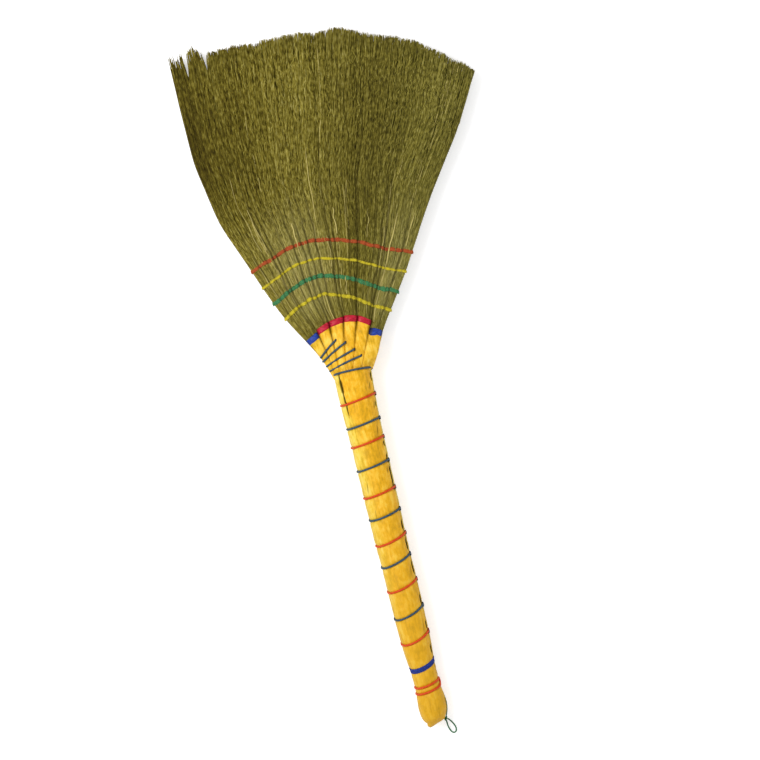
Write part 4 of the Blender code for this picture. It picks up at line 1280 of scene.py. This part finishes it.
def film_material():
    """Satin yellow sheet, paler where it is one layer thick and where a highlight is painted, with fine
    lengthwise streaks, and painted shade down its sides, in its gaps and in its folds.
    """
    m = Nodes("yellow_sheet")
    streak = m.grain((420.0, 26.0, 420.0))
    blotch = m.grain((90.0, 60.0, 90.0))
    crumple = m.grain((260.0, 130.0, 260.0), 4.0, 0.6)
    fine = m.grain((900.0, 60.0, 900.0))
    shade = m.total((streak, 0.55), (blotch, 0.7), (m.math("SUBTRACT", crumple, 0.58), 0.8))
    double = m.ramp(
        shade, (0.35, linear(204, 153, 2)), (0.56, linear(240, 177, 12)), (0.8, linear(254, 208, 72)),
    )
    pale = m.ramp(
        shade, (0.35, linear(212, 176, 40)), (0.55, linear(240, 208, 70)), (0.8, linear(250, 228, 122)),
    )
    # Paler where the sheet is one layer thick, with painted highlight on the handle's left
    colour = m.mix(m.attribute("paleness"), double, pale)
    place = m.add("ShaderNodeTexCoord").outputs["Object"]
    along = m.add("ShaderNodeSeparateXYZ", {"Vector": place}).outputs["Y"]
    colour = m.mix(m.times(along, -1.5, clamp=True), colour, linear(200, 152, 20))
    specks = m.math("GREATER_THAN", m.grain((520.0, 260.0, 520.0), 4.0, 0.65), 0.66)
    colour = m.mix(m.times(specks, 0.4), colour, linear(170, 128, 12))
    # Painted shade down the handle's sides, towards a greyish olive
    colour = m.mix(m.times(m.attribute("side"), 0.34), colour, linear(140, 128, 72))
    # Painted shade where gap is set: under the lapped edge, in the folds, between the sleeves near the rings
    gap = m.times(m.attribute("gap"), 0.95, clamp=True)
    colour = m.mix(gap, colour, linear(34, 26, 5))
    roughness = m.math("ADD", m.times(crumple, 0.3), m.math("ADD", m.times(gap, 0.4), 0.32))
    shine = m.times(m.math("SUBTRACT", 1.0, gap), 0.25)
    return m.finish(colour, roughness, m.total((fine, 0.35), (crumple, 0.65)), 0.7, 0.0012, shine)


def wire_material(name, colour, worn, bare):
    """Plastic-coated wire, a little scuffed along its length, its twisted ends darker."""
    m = Nodes(name)
    scuff = m.grain((500.0, 500.0, 500.0))
    base = m.mix(m.attribute("mark"), m.ramp(scuff, (0.4, colour), (0.75, worn)), bare)
    roughness = m.math("ADD", m.times(scuff, 0.25), 0.35)
    return m.finish(base, roughness, scuff, 0.2, 0.0003, specular=0.2)


def thread_material(name, colour, pale, deep=(0.02, 0.014, 0.002, 1)):
    """Spun plastic thread: light and dark fibres along it, and painted shade where it dips."""
    m = Nodes(name)
    fibres = m.grain((900.0, 1500.0, 900.0))
    base = m.ramp(fibres, (0.3, darker(colour, 0.5)), (0.5, colour), (0.8, pale))
    # The mark lays on the deep colour: painted shade in a sewn thread's dips, the loop's paler far end
    base = m.mix(m.times(m.attribute("mark"), 0.85), base, deep)
    return m.finish(base, 0.65, fibres, 0.5, 0.0004, specular=0.15)


def tape_material(name, colour, pale):
    """Crinkled plastic tape, with painted shade in the valleys between the bundles."""
    m = Nodes(name)
    crinkle = m.grain((300.0, 700.0, 300.0))
    base = m.ramp(crinkle, (0.3, darker(colour, 0.6)), (0.5, colour), (0.85, pale))
    # Painted shade in the valleys, and on the last ring the painted shadow of the ring beside it
    base = m.mix(m.attribute("gap"), base, darker(colour, 0.15))
    return m.finish(base, 0.42, crinkle, 0.4, 0.0005, specular=0.25)


def stalk_material():
    """Dull brown stalks with a lengthwise grain."""
    m = Nodes("bare_stalk")
    grain = m.grain((700.0, 30.0, 700.0))
    base = m.ramp(grain, (0.3, linear(40, 30, 8)), (0.55, linear(72, 56, 18)), (0.8, linear(112, 90, 40)))
    return m.finish(base, 0.6, grain, 0.5, 0.0006, specular=0.5)


# Floor, light and camera

FLOOR_REACH, FLOOR_GLOW = 6.0, 0.42
STUDIO_LIGHT = 0.78
SOFTBOX_PLACE, SOFTBOX_SIZE, SOFTBOX_WATTS = (-1.5, 0.9, 2.3), 1.6, 40


def build_floor():
    """A white floor that glows a little for the camera alone."""
    floor = bpy.data.objects.new("floor", bpy.data.meshes.new("floor"))
    corners = [(x * FLOOR_REACH, y * FLOOR_REACH, 0) for x, y in ((-1, -1), (1, -1), (1, 1), (-1, 1))]
    floor.data.from_pydata(corners, [], [(0, 1, 2, 3)])
    bpy.context.scene.collection.objects.link(floor)
    m = Nodes("white_floor")
    m.tree.nodes.remove(m.shader)
    seen = m.add("ShaderNodeLightPath").outputs["Is Camera Ray"]
    diffuse = m.add("ShaderNodeBsdfDiffuse", {"Color": (0.9, 0.9, 0.91, 1)})
    glow = m.add("ShaderNodeEmission", {"Color": (1, 1, 1, 1), "Strength": m.times(seen, FLOOR_GLOW)})
    both = m.add("ShaderNodeAddShader", {0: diffuse.outputs[0], 1: glow.outputs[0]})
    m.feed(m.tree.nodes["Material Output"].inputs["Surface"], both.outputs[0])
    floor.data.materials.append(m.material)


def build_light():
    """An even white studio and one soft light from the upper left."""
    scene = bpy.context.scene
    scene.view_settings.view_transform = "Standard"
    scene.world = bpy.data.worlds.new("studio")
    scene.world.use_nodes = True
    background = scene.world.node_tree.nodes["Background"]
    background.inputs["Color"].default_value = (1, 1, 1, 1)
    background.inputs["Strength"].default_value = STUDIO_LIGHT

    lamp = bpy.data.lights.new("softbox", "AREA")
    lamp.shape = "DISK"
    lamp.size = SOFTBOX_SIZE
    lamp.energy = SOFTBOX_WATTS
    softbox = bpy.data.objects.new("softbox", lamp)
    softbox.location = SOFTBOX_PLACE
    softbox.rotation_euler = (-softbox.location).to_track_quat("-Z", "Y").to_euler()
    scene.collection.objects.link(softbox)


def build_camera():
    """A far camera that looks straight down, with a long lens."""
    camera = bpy.data.cameras.new("camera")
    camera.sensor_width = SENSOR
    camera.lens = SENSOR * (VIEW_HEIGHT - VIEW_PLANE) / VIEW_WIDTH
    camera.clip_end = 50
    obj = bpy.data.objects.new("camera", camera)
    obj.location = world((VIEW_X, VIEW_Y, VIEW_HEIGHT))
    obj.rotation_euler = (0, 0, VIEW_TURN)
    bpy.context.scene.collection.objects.link(obj)
    bpy.context.scene.camera = obj


build_camera()
build_floor()
build_light()
build_fibres(fibre_material())
film = film_material()
red_wire = wire_material("red_wire", linear(204, 62, 16), linear(220, 88, 30), linear(106, 50, 40))
dark_wire = wire_material("dark_wire", linear(46, 68, 84), linear(72, 96, 108), linear(36, 46, 58))
build_handle(film)
build_stalks(stalk_material())
tie_rng = np.random.default_rng(3)
build_ties("red", red_wire, RED_TIES, tie_rng)
build_ties("dark", dark_wire, DARK_TIES, tie_rng)
build_blue_band(thread_material("blue_thread", linear(34, 60, 158), linear(64, 104, 198)))
build_red_bands(red_wire)
build_neck(
    film, tape_material("red_tape", linear(186, 14, 44), linear(216, 60, 84)),
    tape_material("blue_tape", linear(28, 58, 150), linear(60, 92, 176)),
)
build_neck_wires(dark_wire)
yellow = thread_material("yellow_thread", linear(194, 176, 30), linear(224, 208, 78))
green = thread_material("green_thread", linear(56, 120, 72), linear(98, 156, 108))
red = thread_material("red_thread", linear(164, 70, 30), linear(192, 104, 56))
build_stitches((yellow, green, yellow, red))
# The cord's pale mark colour: its paler plastic and painted highlight at the loop's far end
build_loop(thread_material("green_cord", linear(18, 88, 42), linear(64, 132, 86), linear(96, 148, 112)))
